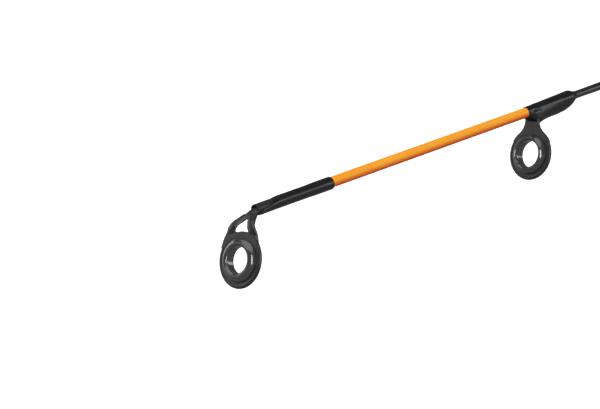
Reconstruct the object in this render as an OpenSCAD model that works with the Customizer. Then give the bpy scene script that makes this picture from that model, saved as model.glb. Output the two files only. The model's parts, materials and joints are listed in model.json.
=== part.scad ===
// Ice fishing rod, single piece, with a spinning reel seat. Millimetres.
// Frame: the origin is the centre of the butt cap's flat end face, on the rod axis.
// +X runs to the tip, the guides and the reel hang on the -Z side, +Y completes the frame.

/* [Rod] */
// Butt face to the front end of the tip-top tube
rod_length = 600; // [480:1:780]

/* [Blank] */
// Blank diameter inside the handle
blank_butt_d = 4.9; // [4:0.05:6.5]
// Blank diameter where the slim tip section begins
blank_mid_d = 1.54; // [1.2:0.02:2.2]
// Blank diameter inside the tip-top tube
blank_tip_d = 1.34; // [1:0.02:1.9]
// Length of the slim tip section
tip_section = 98; // [70:1:140]

/* [Tip] */
// Outer diameter of the coloured tip sleeve
tip_sleeve_d = 2.0; // [1.8:0.02:2.8]
// Length of the black sleeve over the tip-top tube
tip_wrap_length = 19.9; // [14:0.1:28]
// Length of the tip-top tube
tip_tube_length = 13; // [8:0.5:18]
// Hole of the tip-top ring
tip_hole_d = 4.8; // [3.6:0.1:7]
// Ring centre below the rod axis at the tip-top
tip_drop = 7.64; // [6.5:0.02:12]
// Ring centre ahead of the tube end
tip_reach = 2.37; // [1.5:0.01:4]

/* [Guides] */
// First guide, distance back from the tube end
guide_1_back = 79.85; // [60:0.05:110]
// Second guide, distance back from the tube end
guide_2_back = 167; // [130:1:220]
// Third guide, distance back from the tube end
guide_3_back = 265; // [210:1:330]
// Ring hole of the first guide
guide_1_hole_d = 5.24; // [4:0.02:7]
// Ring hole of the second guide
guide_2_hole_d = 6.4; // [5:0.1:8]
// Ring hole of the third guide
guide_3_hole_d = 9.6; // [7:0.1:12]
// Ring centre of the first guide below the axis
guide_1_drop = 8.14; // [7.5:0.02:11]
// Ring centre of the second guide below the axis
guide_2_drop = 10.6; // [9:0.1:14]
// Ring centre of the third guide below the axis
guide_3_drop = 14.8; // [12:0.1:19]
// Forward lean of every ring
ring_lean = 19.5; // [5:0.5:30]
// Thickness of the pressed guide plates
plate_t = 0.7; // [0.5:0.05:1.1]
// Wall of the shrunk black sleeves
wrap_wall = 0.13; // [0.1:0.01:0.3]

/* [Grips] */
// Length of the rubber butt cap
butt_cap_length = 14; // [10:0.5:22]
// Length of the rear grip
rear_grip_length = 81; // [60:1:140]
// Diameter of the rear grip
grip_d = 25; // [22:0.5:32]
// Length of the fore grip
fore_grip_length = 34; // [24:1:60]

/* [Reel seat] */
// Overall length of the reel seat body
seat_length = 100; // [94:1:130]
// Barrel diameter over the thread crests
barrel_d = 16; // [15.5:0.5:19]
// Thread pitch of the lock nut
thread_pitch = 2; // [1.5:0.25:3]
// Thread depth on the barrel
thread_depth = 0.7; // [0.4:0.05:0.7]
// Flat of the barrel that the reel foot lies on, below the axis
saddle_drop = 6.8; // [6.4:0.1:7.1]
// Length of each hood
hood_length = 20; // [17:0.5:24]
// How far the moving hood closes
hood_travel = 20; // [14:0.5:22]
// Length of the lock nut
nut_length = 12.4; // [10:0.2:16]
// Finger flutes round the lock nut
nut_flutes = 20; // [12:1:28]

/* [Fits] */
// Gap of a bonded joint
glue = 0.02; // [0.01:0.005:0.05]
// Radial clearance of the nut and the moving hood on the barrel
run = 0.08; // [0.04:0.01:0.1]
// Gap between faces that move past each other
face_gap = 0.2; // [0.1:0.05:0.4]

/* [Hidden] */
$fn = 64;

// stations along the axis, from the butt
trim_length = 4;
grip_front_x = butt_cap_length + rear_grip_length;
seat_x = grip_front_x + trim_length;
seat_end_x = seat_x + seat_length;
fore_x = seat_end_x + trim_length;
fore_end_x = fore_x + fore_grip_length;
check_end_x = fore_end_x + 5;
keeper_x = check_end_x + 16;
tip_x = rod_length;
tip_tube_x = tip_x - 3;
tip_wrap_end_x = tip_tube_x - tip_wrap_length;
blank_start_x = butt_cap_length + 8;
blank_mid_x = tip_x - tip_section;
blank_end_x = tip_tube_x - 1;

// handle radii
grip_r = grip_d / 2;
grip_neck_r = 0.78 * grip_r;
barrel_r = barrel_d / 2;
seat_bore_r = barrel_r - 3;
root_r = barrel_r - thread_depth;
hood_r = barrel_r + 1.8;
pocket_r = barrel_r - 0.4;
pocket_drop = 4.8;
hood_wall = 1.4;
liner_t = 0.6;
pocket_depth = hood_length - 5;
key_w = 2.4;
key_depth = 1.2;

// reel seat stations
thread_end_x = seat_end_x - 2;
nut_x = thread_end_x - 0.6 - nut_length;
washer_t = 1;
washer_x = nut_x - face_gap - washer_t;
hood_x = washer_x - glue - hood_length;
thread_x = hood_x + hood_length - hood_travel - 2;
saddle_x = seat_x + hood_length - pocket_depth;

// tip sleeve ends under the first guide's black sleeve
sleeve_front_x = tip_wrap_end_x + 4.5;
guide_1_x = tip_x - guide_1_back;
guide_2_x = tip_x - guide_2_back;
guide_3_x = tip_x - guide_3_back;
sleeve_rear_x = guide_1_x - 14.3;
tip_sleeve_r = tip_sleeve_d / 2;
tip_wrap_r = tip_sleeve_r + glue + wrap_wall;
tube_r = 0.95 * tip_sleeve_r;

// blank radius at a station: straight handle part, long taper, slim tip section
function blank_r(x) =
    x < fore_end_x ? blank_butt_d / 2
    : x < blank_mid_x ? (blank_butt_d + (blank_mid_d - blank_butt_d)
        * (x - fore_end_x) / (blank_mid_x - fore_end_x)) / 2
    : (blank_mid_d + (blank_tip_d - blank_mid_d)
        * (x - blank_mid_x) / (blank_end_x - blank_mid_x)) / 2;

// half of a cosine ease between two radii, as profile points [radius, station]
function eased(x0, x1, r0, r1, n) =
    [for (i = [0:n]) [r0 + (r1 - r0) * (1 - cos(180 * i / n)) / 2, x0 + (x1 - x0) * i / n]];

// quarter round of radius c at a profile corner, from angle a0 to a1
function corner(r, x, c, a0, a1, n) =
    [for (i = [0:n]) [r + c * cos(a0 + (a1 - a0) * i / n), x + c * sin(a0 + (a1 - a0) * i / n)]];

// a sketch whose +x is down (-Z), carried along +X
module along_x(x0) {
    translate([x0, 0, 0]) rotate([0, 90, 0]) children();
}

module turned(points) {
    along_x(0) rotate_extrude() polygon(points);
}

// blank's own shape grown by a gap, between two stations
module blank_shape(x0, x1, gap) {
    marks = [for (m = [fore_end_x, blank_mid_x]) if (m > x0 && m < x1) m];
    xs = concat([x0], marks, [x1]);
    turned(concat([[0, x0]], [for (x = xs) [blank_r(x) + gap, x]], [[0, x1]]));
}

// a tube from the blank's surface out to a given profile
module on_blank(points, x0, x1, gap) {
    difference() {
        turned(concat([[0, x0]], points, [[0, x1]]));
        blank_shape(x0 - 1, x1 + 1, gap);
    }
}

// the plane of a leaning ring: sketch x is +Y, sketch y is up the ring, z is forward
module ring_plane(x, drop) {
    translate([x, 0, -drop]) rotate([0, -ring_lean, 0]) rotate([90, 0, 90]) children();
}

// insert ring: a round-nosed bead with a short straight land at the hole
module insert_ring(hole_r, wall, bead_r) {
    rotate_extrude() union() {
        intersection() {
            translate([hole_r + bead_r * 0.36, 0]) circle(r = bead_r);
            translate([hole_r, -bead_r]) square([wall, 2 * bead_r]);
        }
        translate([hole_r + wall * 0.5, -plate_t / 2 - 0.1])
            square([wall * 0.5, plate_t + 0.2]);
    }
}

// guide plate sketch: round disc, waisted neck up to the rod
module plate_sketch(disc_r, neck_w, neck_top) {
    circle(r = disc_r);
    y0 = disc_r * 0.78;
    x0 = disc_r * 0.62;
    half = neck_w / 2;
    rise = (neck_top - y0) * 0.62;
    side = [for (i = [0:5]) [half + (x0 - half) * pow(1 - i / 5, 2), y0 + rise * i / 5]];
    other = [for (i = [5:-1:0]) [-side[i][0], side[i][1]]];
    polygon(concat([[0, 0]], side, [[half, neck_top], [-half, neck_top]], other));
}

// section of a foot lying under the rod; +x is down
module foot_sketch(host_r, depth, top_w, low_w) {
    low = host_r + depth;
    polygon([[host_r * 0.5, -top_w / 2], [low - 0.35, -low_w / 2], [low, 0.35 - low_w / 2],
             [low, low_w / 2 - 0.35], [low - 0.35, low_w / 2], [host_r * 0.5, top_w / 2]]);
}

// section of a shrunk sleeve stretched over the host and a foot below it, grown by a gap
function wrap_points(host_r, depth, low_w, grow) =
    let (r = host_r + grow,
         d = host_r + depth + grow,
         w = low_w / 2 + 0.06 + grow,
         turn = atan2(w, d) + acos(r / norm([d, w])),
         touch = [r * cos(turn), r * sin(turn)],
         run_up = (touch - [d, w]) / norm(touch - [d, w]),
         arc = [for (i = [0:24]) let (a = turn + (360 - 2 * turn) * i / 24) [r * cos(a), r * sin(a)]])
    concat(arc, [[d + 0.2 * run_up[0], -w - 0.2 * run_up[1]], [d, 0.25 - w], [d, w - 0.25],
                 [d + 0.2 * run_up[0], w + 0.2 * run_up[1]]]);

// one single-foot guide: where it stands, how big its ring is and what it stands on
// g = [station, drop, hole radius, ring wall, rim, neck width, foot depth, foot length, host radius]
guide_1 = [guide_1_x, guide_1_drop, guide_1_hole_d / 2, 1.28, 1.12, 3.1, 1.12, 11.5, tip_sleeve_r];
guide_2 = [guide_2_x, guide_2_drop, guide_2_hole_d / 2, 1.4, 0.95, 3.4, 1.15, 13, blank_r(guide_2_x - 19)];
guide_3 = [guide_3_x, guide_3_drop, guide_3_hole_d / 2, 1.6, 1.1, 4, 1.2, 15, blank_r(guide_3_x - 23)];

function g_top(g) = (g[1] - g[8] - 0.25) / cos(ring_lean);
function g_root_x(g) = g[0] - g_top(g) * sin(ring_lean);
function g_insert_r(g) = g[2] + g[3];
function g_rear_x(g) = g_root_x(g) - g[7] - 2.3;

module guide_ring(g) {
    ring_plane(g[0], g[1]) insert_ring(g[2], g[3], g[3] * 0.82);
}

module host_cut(g, gap) {
    if (g[8] == tip_sleeve_r)
        along_x(g_root_x(g) - g[7] - 10) cylinder(r = tip_sleeve_r + gap, h = g[7] + 20);
    else
        blank_shape(g_root_x(g) - g[7] - 10, g_root_x(g) + 10, gap);
}

// slim cone that draws a foot and its sleeve down to the blank at the rear
module draw_down(g, rear_x, front_x, grow) {
    end_r = blank_r(rear_x) + grow;
    wide = g[8] + g[6] + 1;
    turned([[0, rear_x], [end_r, rear_x], [end_r, rear_x + 0.4],
            [wide, rear_x + 0.4 + (wide - end_r) * 2.9], [wide, front_x], [0, front_x]]);
}

module guide_frame(g) {
    root_x = g_root_x(g);
    difference() {
        union() {
            ring_plane(g[0], g[1]) translate([0, 0, -plate_t / 2])
                linear_extrude(plate_t) plate_sketch(g_insert_r(g) + g[4], g[5], g_top(g));
            ring_plane(g[0], g[1]) cylinder(r = g_insert_r(g) + 0.28, h = plate_t + 0.24, center = true);
            intersection() {
                along_x(root_x - g[7]) linear_extrude(g[7] + 0.2)
                    foot_sketch(g[8], g[6], g[5] * 0.6, g[5] * 0.5);
                draw_down(g, g_rear_x(g) + 0.1, root_x + 1, 0);
            }
        }
        ring_plane(g[0], g[1]) cylinder(r = g_insert_r(g) + glue, h = 6, center = true);
        host_cut(g, glue);
    }
}

// the sleeve's outline: the stretched section, drawn down to the blank at its rear end
module wrap_form(g, rear_x, front_x, grow) {
    intersection() {
        along_x(rear_x - 1) linear_extrude(front_x - rear_x + 1)
            polygon(wrap_points(g[8], g[6], g[5] * 0.5, grow));
        draw_down(g, rear_x, front_x, grow);
    }
}

module guide_wrap(g) {
    root_x = g_root_x(g);
    rear_x = g_rear_x(g);
    front_x = root_x + 1.9;
    difference() {
        wrap_form(g, rear_x, front_x, glue + wrap_wall);
        wrap_form(g, rear_x + 0.1, front_x + 1, glue);
        blank_shape(rear_x - 2, root_x - g[7] + 3, glue);
        // open round the neck
        translate([root_x - 1, -10, -40]) cube([20, 20, 40 - g[8] - 0.1]);
    }
}

// ---- tip ----

module blank() color([0.22, 0.22, 0.23]) {
    blank_shape(blank_start_x, blank_end_x, 0);
}

module tip_sleeve() color([0.98, 0.50, 0.12]) {
    difference() {
        along_x(sleeve_rear_x) cylinder(r = tip_sleeve_r, h = sleeve_front_x - sleeve_rear_x);
        blank_shape(sleeve_rear_x - 1, sleeve_front_x + 1, glue);
    }
}

module tip_top_tube() color([0.28, 0.28, 0.29]) {
    difference() {
        along_x(tip_tube_x - tip_tube_length) cylinder(r = tube_r, h = tip_tube_length);
        blank_shape(tip_tube_x - tip_tube_length - 1, blank_end_x + glue, glue);
    }
}

module tip_top_wrap() color([0.1, 0.1, 0.1]) {
    step_x = sleeve_front_x + 0.6;
    difference() {
        turned([[0, tip_wrap_end_x], [tip_wrap_r, tip_wrap_end_x], [tip_wrap_r, tip_tube_x - 0.3],
                [tip_wrap_r - 0.05, tip_tube_x - 0.05], [0, tip_tube_x - 0.05]]);
        along_x(tip_wrap_end_x - 1) cylinder(r = tip_sleeve_r + glue, h = step_x - tip_wrap_end_x + 1);
        along_x(step_x - 1) cylinder(r = tube_r + glue, h = tip_tube_x - step_x + 2);
    }
}

tip_wall = 1.5;
tip_rim = 1.12;
tip_insert_r = tip_hole_d / 2 + tip_wall;
tip_disc_r = tip_insert_r + tip_rim;
tip_ring_x = tip_x + tip_reach;

module tip_top_ring() color([0.2, 0.2, 0.21]) {
    ring_plane(tip_ring_x, tip_drop) insert_ring(tip_hole_d / 2, tip_wall, tip_wall * 0.63);
}

// nose where the tube ends and both arms meet
nose = [tip_x - 1.7, 0, -0.62];

// middle line of one arm, from the plate's shoulder up to the nose, in the ring's plane
function arm_point(t) = [
    (1 - t) * (tip_disc_r * 0.66) + t * 0.34 + 0.55 * sin(180 * t),
    tip_disc_r * 0.72 + (tip_drop - 0.55 - tip_disc_r * 0.66) * t,
    0.12 + 0.62 * sin(200 * t) - 1.5 * t * t];

module arm_bead(t, side) {
    p = arm_point(t);
    ring_plane(tip_ring_x, tip_drop) translate([side * p[0], p[1], p[2]])
        sphere(r = 0.66 - 0.04 * t, $fn = 16);
}

module tip_top_frame() color([0.3, 0.3, 0.31]) {
    steps = 5;
    shoulder = arm_point(0);
    difference() {
        union() {
            ring_plane(tip_ring_x, tip_drop) translate([0, 0, -plate_t / 2])
                linear_extrude(plate_t) {
                    circle(r = tip_disc_r);
                    polygon([[-tip_disc_r * 0.94, tip_disc_r * 0.34],
                             [-shoulder[0] - 0.62, shoulder[1] + 0.3],
                             [-shoulder[0] + 0.6, shoulder[1] + 1.1],
                             [shoulder[0] - 0.6, shoulder[1] + 1.1],
                             [shoulder[0] + 0.62, shoulder[1] + 0.3],
                             [tip_disc_r * 0.94, tip_disc_r * 0.34]]);
                }
            ring_plane(tip_ring_x, tip_drop)
                cylinder(r = tip_insert_r + 0.28, h = plate_t + 0.24, center = true);
            for (side = [-1, 1]) for (i = [0:steps - 1]) hull() {
                arm_bead(i / steps, side);
                arm_bead((i + 1) / steps, side);
            }
            hull() {
                translate(nose) sphere(r = 0.78, $fn = 24);
                translate([tip_tube_x + glue, 0, -0.3]) rotate([0, 90, 0]) cylinder(r = 0.6, h = 0.2, $fn = 24);
            }
        }
        ring_plane(tip_ring_x, tip_drop) cylinder(r = tip_insert_r + glue, h = 6, center = true);
    }
}

// ---- guides ----

module guide_1_frame() color([0.3, 0.3, 0.31]) guide_frame(guide_1);
module guide_1_ring() color([0.2, 0.2, 0.21]) guide_ring(guide_1);
module guide_1_wrap() color([0.1, 0.1, 0.1]) guide_wrap(guide_1);
module guide_2_frame() color([0.3, 0.3, 0.31]) guide_frame(guide_2);
module guide_2_ring() color([0.2, 0.2, 0.21]) guide_ring(guide_2);
module guide_2_wrap() color([0.1, 0.1, 0.1]) guide_wrap(guide_2);
module guide_3_frame() color([0.3, 0.3, 0.31]) guide_frame(guide_3);
module guide_3_ring() color([0.2, 0.2, 0.21]) guide_ring(guide_3);
module guide_3_wrap() color([0.1, 0.1, 0.1]) guide_wrap(guide_3);

// ---- hook keeper: a wire loop lashed under the blank ----

wire_r = 0.55;
loop_r = 3.2;
keeper_foot = 6;
keeper_mid_x = keeper_x + keeper_foot + loop_r;
keeper_end_x = keeper_mid_x + loop_r + keeper_foot;
keeper_drop = blank_r(keeper_x) + wire_r + glue;

module hook_keeper() color([0.3, 0.3, 0.31]) {
    for (x = [keeper_x, keeper_end_x - keeper_foot])
        translate([0, 0, -keeper_drop]) along_x(x) cylinder(r = wire_r, h = keeper_foot);
    translate([keeper_mid_x, 0, -keeper_drop]) rotate([-90, 0, 0])
        rotate_extrude(angle = 180) translate([loop_r, 0]) circle(r = wire_r);
}

module keeper_wrap(x0, x1) {
    difference() {
        along_x(x0) linear_extrude(x1 - x0) hull() {
            circle(r = blank_r(x0) + glue + wrap_wall, $fn = 48);
            translate([keeper_drop, 0]) circle(r = wire_r + glue + wrap_wall, $fn = 24);
        }
        along_x(x0 - 1) linear_extrude(x1 - x0 + 2) hull() {
            circle(r = blank_r(x0) + glue, $fn = 48);
            translate([keeper_drop, 0]) circle(r = wire_r + glue, $fn = 24);
        }
    }
}

module keeper_wrap_front() color([0.1, 0.1, 0.1]) {
    keeper_wrap(keeper_end_x - keeper_foot + 1.4, keeper_end_x + 0.5);
}

module keeper_wrap_rear() color([0.1, 0.1, 0.1]) {
    keeper_wrap(keeper_x - 0.5, keeper_x + keeper_foot - 1.4);
}

// ---- handle ----

module winding_check() color([0.75, 0.75, 0.77]) {
    on_blank(concat([[fore_tip_r - 0.3, fore_end_x + glue], [fore_tip_r - 0.3, fore_end_x + 1.2]],
                    eased(fore_end_x + 1.4, check_end_x, fore_tip_r - 0.9, blank_butt_d / 2 + 0.7, 5)),
             fore_end_x + glue, check_end_x, glue);
}

fore_tip_r = blank_butt_d / 2 + 3.2;

module fore_grip() color([0.13, 0.13, 0.14]) {
    r0 = barrel_r + 2;
    x1 = fore_end_x;
    on_blank(concat([[r0 - 1, fore_x + glue]], corner(r0 - 1, fore_x + glue + 1, 1, -60, 0, 3),
                    [[r0, fore_x + 8]], eased(fore_x + 9, x1 - 3, r0, fore_tip_r + 0.6, 8),
                    corner(fore_tip_r, x1 - 1.2, 1, 0, 75, 4), [[fore_tip_r - 0.4, x1]]),
             fore_x + glue, x1, glue);
}

module front_trim_ring() color([0.75, 0.75, 0.77]) {
    r = barrel_r + 0.9;
    on_blank([[r - 0.5, seat_end_x + glue], [r, seat_end_x + 0.5], [r, seat_end_x + 1.4],
              [r - 0.5, seat_end_x + 1.9], [r - 0.5, seat_end_x + 2.3], [r, seat_end_x + 2.8],
              [r, fore_x - 0.4], [r - 0.4, fore_x]], seat_end_x + glue, fore_x, glue);
}

// threaded barrel with a flat for the reel foot and a key slot on each side
module seat_body() color([0.11, 0.11, 0.12]) {
    count = floor((thread_end_x - thread_x) / thread_pitch);
    crest = 0.3 * thread_pitch;
    ridges = [for (i = [0:count - 1]) let (x = thread_x + i * thread_pitch) each [
        [root_r, x], [barrel_r, x + (thread_pitch - crest) / 2],
        [barrel_r, x + (thread_pitch + crest) / 2], [root_r, x + thread_pitch]]];
    difference() {
        turned(concat([[seat_bore_r, seat_x + glue], [barrel_r, seat_x + glue],
                       [barrel_r, thread_x - 1], [root_r, thread_x - 0.4]], ridges,
                      [[root_r, thread_end_x + 0.4], [barrel_r, thread_end_x + 1],
                       [barrel_r, seat_end_x - 0.4], [barrel_r - 0.4, seat_end_x],
                       [seat_bore_r, seat_end_x]]));
        translate([saddle_x, -barrel_r, -saddle_drop - 10])
            cube([thread_end_x + 0.6 - saddle_x, barrel_d, 10]);
        for (side = [-1, 1])
            translate([hood_x - hood_travel - 3, side * barrel_r - key_depth, -key_w / 2])
                cube([thread_end_x + 0.6 - hood_x + hood_travel + 3, 2 * key_depth, key_w]);
    }
}

// hood sketch: a collar round the barrel with a bulge below for the reel foot
module hood_sketch(wall_out) {
    circle(r = hood_r - hood_wall + wall_out);
    translate([pocket_drop, 0]) circle(r = pocket_r + wall_out);
}

// hood with its mouth at x = 0 and its closed end at hood_length
module hood(bore_r) {
    depth = pocket_depth;
    difference() {
        intersection() {
            along_x(0) linear_extrude(hood_length) hood_sketch(hood_wall);
            translate([0, 0, -pocket_drop / 2]) turned([
                [0, 0], [hood_r + 2.6, 0], [hood_r + 3.4, 1], [hood_r + 3.4, depth - 2],
                [hood_r + 2, depth + 1.5], [hood_r - 0.2, hood_length - 0.5],
                [hood_r - 0.7, hood_length], [0, hood_length]]);
        }
        along_x(-1) cylinder(r = bore_r, h = hood_length + 2);
        along_x(-1) linear_extrude(depth + 1) translate([pocket_drop, 0]) circle(r = pocket_r);
    }
}

module hood_liner() {
    along_x(0.6) linear_extrude(pocket_depth - 1) difference() {
        translate([pocket_drop, 0]) circle(r = pocket_r - glue);
        translate([pocket_drop, 0]) circle(r = pocket_r - liner_t);
        translate([pocket_drop - 20 + 2.6, -20]) square([20, 40]);
    }
}

module fixed_hood() color([0.11, 0.11, 0.12]) {
    translate([seat_x + hood_length, 0, 0]) mirror([1, 0, 0]) hood(barrel_r + glue);
}

module fixed_hood_liner() color([0.16, 0.16, 0.16]) {
    translate([seat_x + hood_length, 0, 0]) mirror([1, 0, 0]) hood_liner();
}

module moving_hood() color([0.11, 0.11, 0.12]) {
    translate([hood_x, 0, 0]) hood(barrel_r + run);
    // keys that run in the barrel's side slots
    for (side = [-1, 1])
        translate([hood_x + 1, side * (barrel_r + 0.4) - 0.9, -key_w / 2 + 0.15])
            cube([hood_length - 3, 1.8, key_w - 0.3]);
}

module moving_hood_liner() color([0.16, 0.16, 0.16]) {
    translate([hood_x, 0, 0]) hood_liner();
}

module thrust_washer() color([0.75, 0.75, 0.77]) {
    r = hood_r - 0.5;
    turned([[barrel_r + run, washer_x], [r - 0.2, washer_x], [r, washer_x + 0.2],
            [r, washer_x + washer_t - 0.2], [r - 0.2, washer_x + washer_t],
            [barrel_r + run, washer_x + washer_t]]);
}

module lock_nut() color([0.11, 0.11, 0.12]) {
    r = barrel_r + 3;
    x1 = nut_x + nut_length;
    difference() {
        turned(concat([[barrel_r + run, nut_x], [r - 1.6, nut_x], [r - 0.9, nut_x + 0.8]],
                      corner(r - 0.7, nut_x + 2, 0.7, -80, 0, 3),
                      corner(r - 0.7, x1 - 2, 0.7, 0, 80, 3),
                      [[r - 1.2, x1 - 0.8], [r - 1.8, x1], [barrel_r + run, x1]]));
        for (i = [0:nut_flutes - 1]) rotate([360 * i / nut_flutes, 0, 0])
            translate([0, 0, r + 0.35]) along_x(nut_x - 1) cylinder(r = 0.85, h = nut_length + 2);
    }
}

module arbor(x0, x1) {
    on_blank([[seat_bore_r - glue, x0], [seat_bore_r - glue, x1]], x0, x1, glue);
}

module seat_arbor_front() color([0.2, 0.2, 0.2]) {
    arbor(seat_end_x - 30, seat_end_x - 1);
}

module seat_arbor_rear() color([0.2, 0.2, 0.2]) {
    arbor(seat_x + 1, seat_x + 30);
}

module rear_trim_ring() color([0.75, 0.75, 0.77]) {
    r = barrel_r + 2.2;
    on_blank([[r - 0.5, grip_front_x + glue], [r, grip_front_x + 0.5], [r, grip_front_x + 1.4],
              [r - 0.5, grip_front_x + 1.9], [r - 0.5, grip_front_x + 2.3],
              [r, grip_front_x + 2.8], [r, seat_x - 0.5], [r - 0.5, seat_x]],
             grip_front_x + glue, seat_x, glue);
}

spigot_r = grip_r - 3;
spigot_length = 7;

module rear_grip() color([0.13, 0.13, 0.14]) {
    x0 = butt_cap_length + glue;
    x1 = grip_front_x;
    start = x0 - spigot_length;
    difference() {
        turned(concat([[0, start], [spigot_r, start], [spigot_r, x0], [grip_r, x0],
                       [grip_r, x0 + rear_grip_length * 0.6]],
                      eased(x0 + rear_grip_length * 0.6 + 1, x1 - 2, grip_r, grip_neck_r, 8),
                      corner(grip_neck_r - 1, x1 - 1, 1, 0, 80, 4), [[0, x1]]));
        blank_shape(blank_start_x - glue, x1 + 1, glue);
    }
}

// rubber cup that takes the grip's spigot
module butt_cap() color([0.09, 0.09, 0.09]) {
    r = grip_r - 0.1;
    x1 = butt_cap_length;
    floor_x = x1 - spigot_length - 0.04;
    turned(concat([[0, 0], [r - 2.6, 0]], corner(r - 2.2, 2.2, 2.2, -80, 0, 5),
                  [[r, x1 - 4], [r - 0.5, x1 - 3.6], [r - 0.5, x1 - 3.1], [r, x1 - 2.7], [r, x1],
                   [spigot_r + glue, x1], [spigot_r + glue, floor_x], [0, floor_x]]));
}

blank();
tip_sleeve();
tip_top_tube();
tip_top_frame();
tip_top_ring();
tip_top_wrap();
guide_1_frame();
guide_1_ring();
guide_1_wrap();
guide_2_frame();
guide_2_ring();
guide_2_wrap();
guide_3_frame();
guide_3_ring();
guide_3_wrap();
hook_keeper();
keeper_wrap_front();
keeper_wrap_rear();
winding_check();
fore_grip();
front_trim_ring();
seat_body();
fixed_hood();
fixed_hood_liner();
moving_hood();
moving_hood_liner();
thrust_washer();
lock_nut();
seat_arbor_front();
seat_arbor_rear();
rear_trim_ring();
rear_grip();
butt_cap();
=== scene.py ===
"""Looks of a short ice fishing rod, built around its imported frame.

Lengths in the builders are millimetres in the rod's own frame: +X runs along the rod to the tip,
+Z is up, the guides and the reel hang on the -Z side. Meshes are turned to metres when they are made.
"""

import json
import logging
import math
from dataclasses import dataclass
from enum import Enum
from typing import Callable, Iterable, Sequence

import bmesh
import bpy
import numpy as np
from mathutils import Matrix, Vector, noise


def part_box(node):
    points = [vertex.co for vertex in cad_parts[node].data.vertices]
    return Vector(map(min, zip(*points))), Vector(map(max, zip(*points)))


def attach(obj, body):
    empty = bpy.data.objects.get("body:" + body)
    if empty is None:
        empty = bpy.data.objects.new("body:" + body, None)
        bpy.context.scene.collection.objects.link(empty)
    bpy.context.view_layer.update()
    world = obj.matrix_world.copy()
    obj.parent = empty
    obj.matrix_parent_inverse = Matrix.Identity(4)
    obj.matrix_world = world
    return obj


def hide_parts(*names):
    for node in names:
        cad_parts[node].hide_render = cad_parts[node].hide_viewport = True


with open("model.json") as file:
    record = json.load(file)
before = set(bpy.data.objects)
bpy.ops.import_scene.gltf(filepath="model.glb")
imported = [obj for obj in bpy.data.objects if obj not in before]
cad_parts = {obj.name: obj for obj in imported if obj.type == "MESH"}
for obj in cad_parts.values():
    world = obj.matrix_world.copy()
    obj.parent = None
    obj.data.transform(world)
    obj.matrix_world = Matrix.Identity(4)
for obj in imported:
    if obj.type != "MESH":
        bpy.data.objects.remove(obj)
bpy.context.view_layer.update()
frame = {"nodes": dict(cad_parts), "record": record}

LOG = logging.getLogger("ice_rod")
MM = 0.001
LEAN = math.radians(19.5)
MERGE = 1e-7
FINE_VOXEL = 0.085
COARSE_VOXEL = 0.12
PLATE_SMOOTH = 5

Point2 = tuple[float, float]
Point3 = tuple[float, float, float]
Colour = tuple[float, float, float]
Piece = bpy.types.Object
Node = bpy.types.Node
Socket = bpy.types.NodeSocket


# ---------------------------------------------------------------- nodes


class NodeCanvas:
    """A node tree with short calls for adding and feeding nodes."""

    def __init__(self, tree: bpy.types.NodeTree) -> None:
        """Keeps the tree that the calls work on."""
        self.tree = tree

    def add(self, kind: str, **settings: object) -> Node:
        """Adds one node.

        Args:
            kind: The node's type name without the shader prefix.
            **settings: Properties set on the node.

        Returns:
            The new node.
        """
        prefix = "" if kind.startswith(("NodeGroup", "Geometry")) else "ShaderNode"
        node = self.tree.nodes.new(prefix + kind)
        for key, value in settings.items():
            setattr(node, key, value)
        return node

    def feed(self, target: Socket, value: object) -> None:
        """Links an input where the value is a socket, and sets it where the value is plain.

        Args:
            target: The input socket.
            value: A socket, a number, a vector or a colour.
        """
        if isinstance(value, Socket):
            self.tree.links.new(value, target)
        else:
            target.default_value = value

    def put(self, node: Node, **values: object) -> Node:
        """Feeds inputs by name, with underscores for spaces.

        Args:
            node: The node whose inputs are fed.
            **values: Input names and their values.

        Returns:
            The same node.
        """
        for key, value in values.items():
            self.feed(node.inputs[key.replace("_", " ")], value)
        return node

    def make(self, kind: str, output: str, settings: dict[str, object] | None = None,
             **values: object) -> Socket:
        """Adds a node, feeds it and gives one of its outputs.

        Args:
            kind: The node's type name without the shader prefix.
            output: Name of the output.
            settings: Properties set on the node.
            **values: Input names and their values.

        Returns:
            The output's socket.
        """
        return self.put(self.add(kind, **(settings or {})), **values).outputs[output]

    def math(self, operation: str, first: object, second: object) -> Socket:
        """Adds a Math node on sockets or numbers.

        Args:
            operation: Blender's name of the operation.
            first: A socket or a number.
            second: A socket or a number.

        Returns:
            The node's output socket.
        """
        node = self.add("Math", operation=operation)
        self.feed(node.inputs[0], first)
        self.feed(node.inputs[1], second)
        return node.outputs[0]

    def mix_colour(self, factor: Socket, low: object, high: object) -> Socket:
        """Mixes two colours, each a socket or a plain colour.

        Args:
            factor: The mask that picks the second colour.
            low: Colour where the mask is 0.
            high: Colour where the mask is 1.

        Returns:
            The mixed colour's socket.
        """
        node = self.put(self.add("Mix", data_type="RGBA"), Factor=factor)
        for target, value in ((node.inputs[6], low), (node.inputs[7], high)):
            self.feed(target, value if isinstance(value, Socket) else (*value, 1.0))
        return node.outputs[2]

    def ramp(self, value: Socket, low: float, high: float) -> Socket:
        """Stretches a value so that low becomes 0 and high becomes 1, clamped."""
        return self.make("MapRange", "Result", Value=value, From_Min=low, From_Max=high)

    def upward(self) -> Socket:
        """How far the surface looks up, from -1 to 1."""
        return self.make("SeparateXYZ", "Z", Vector=self.make("NewGeometry", "Normal"))


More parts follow.
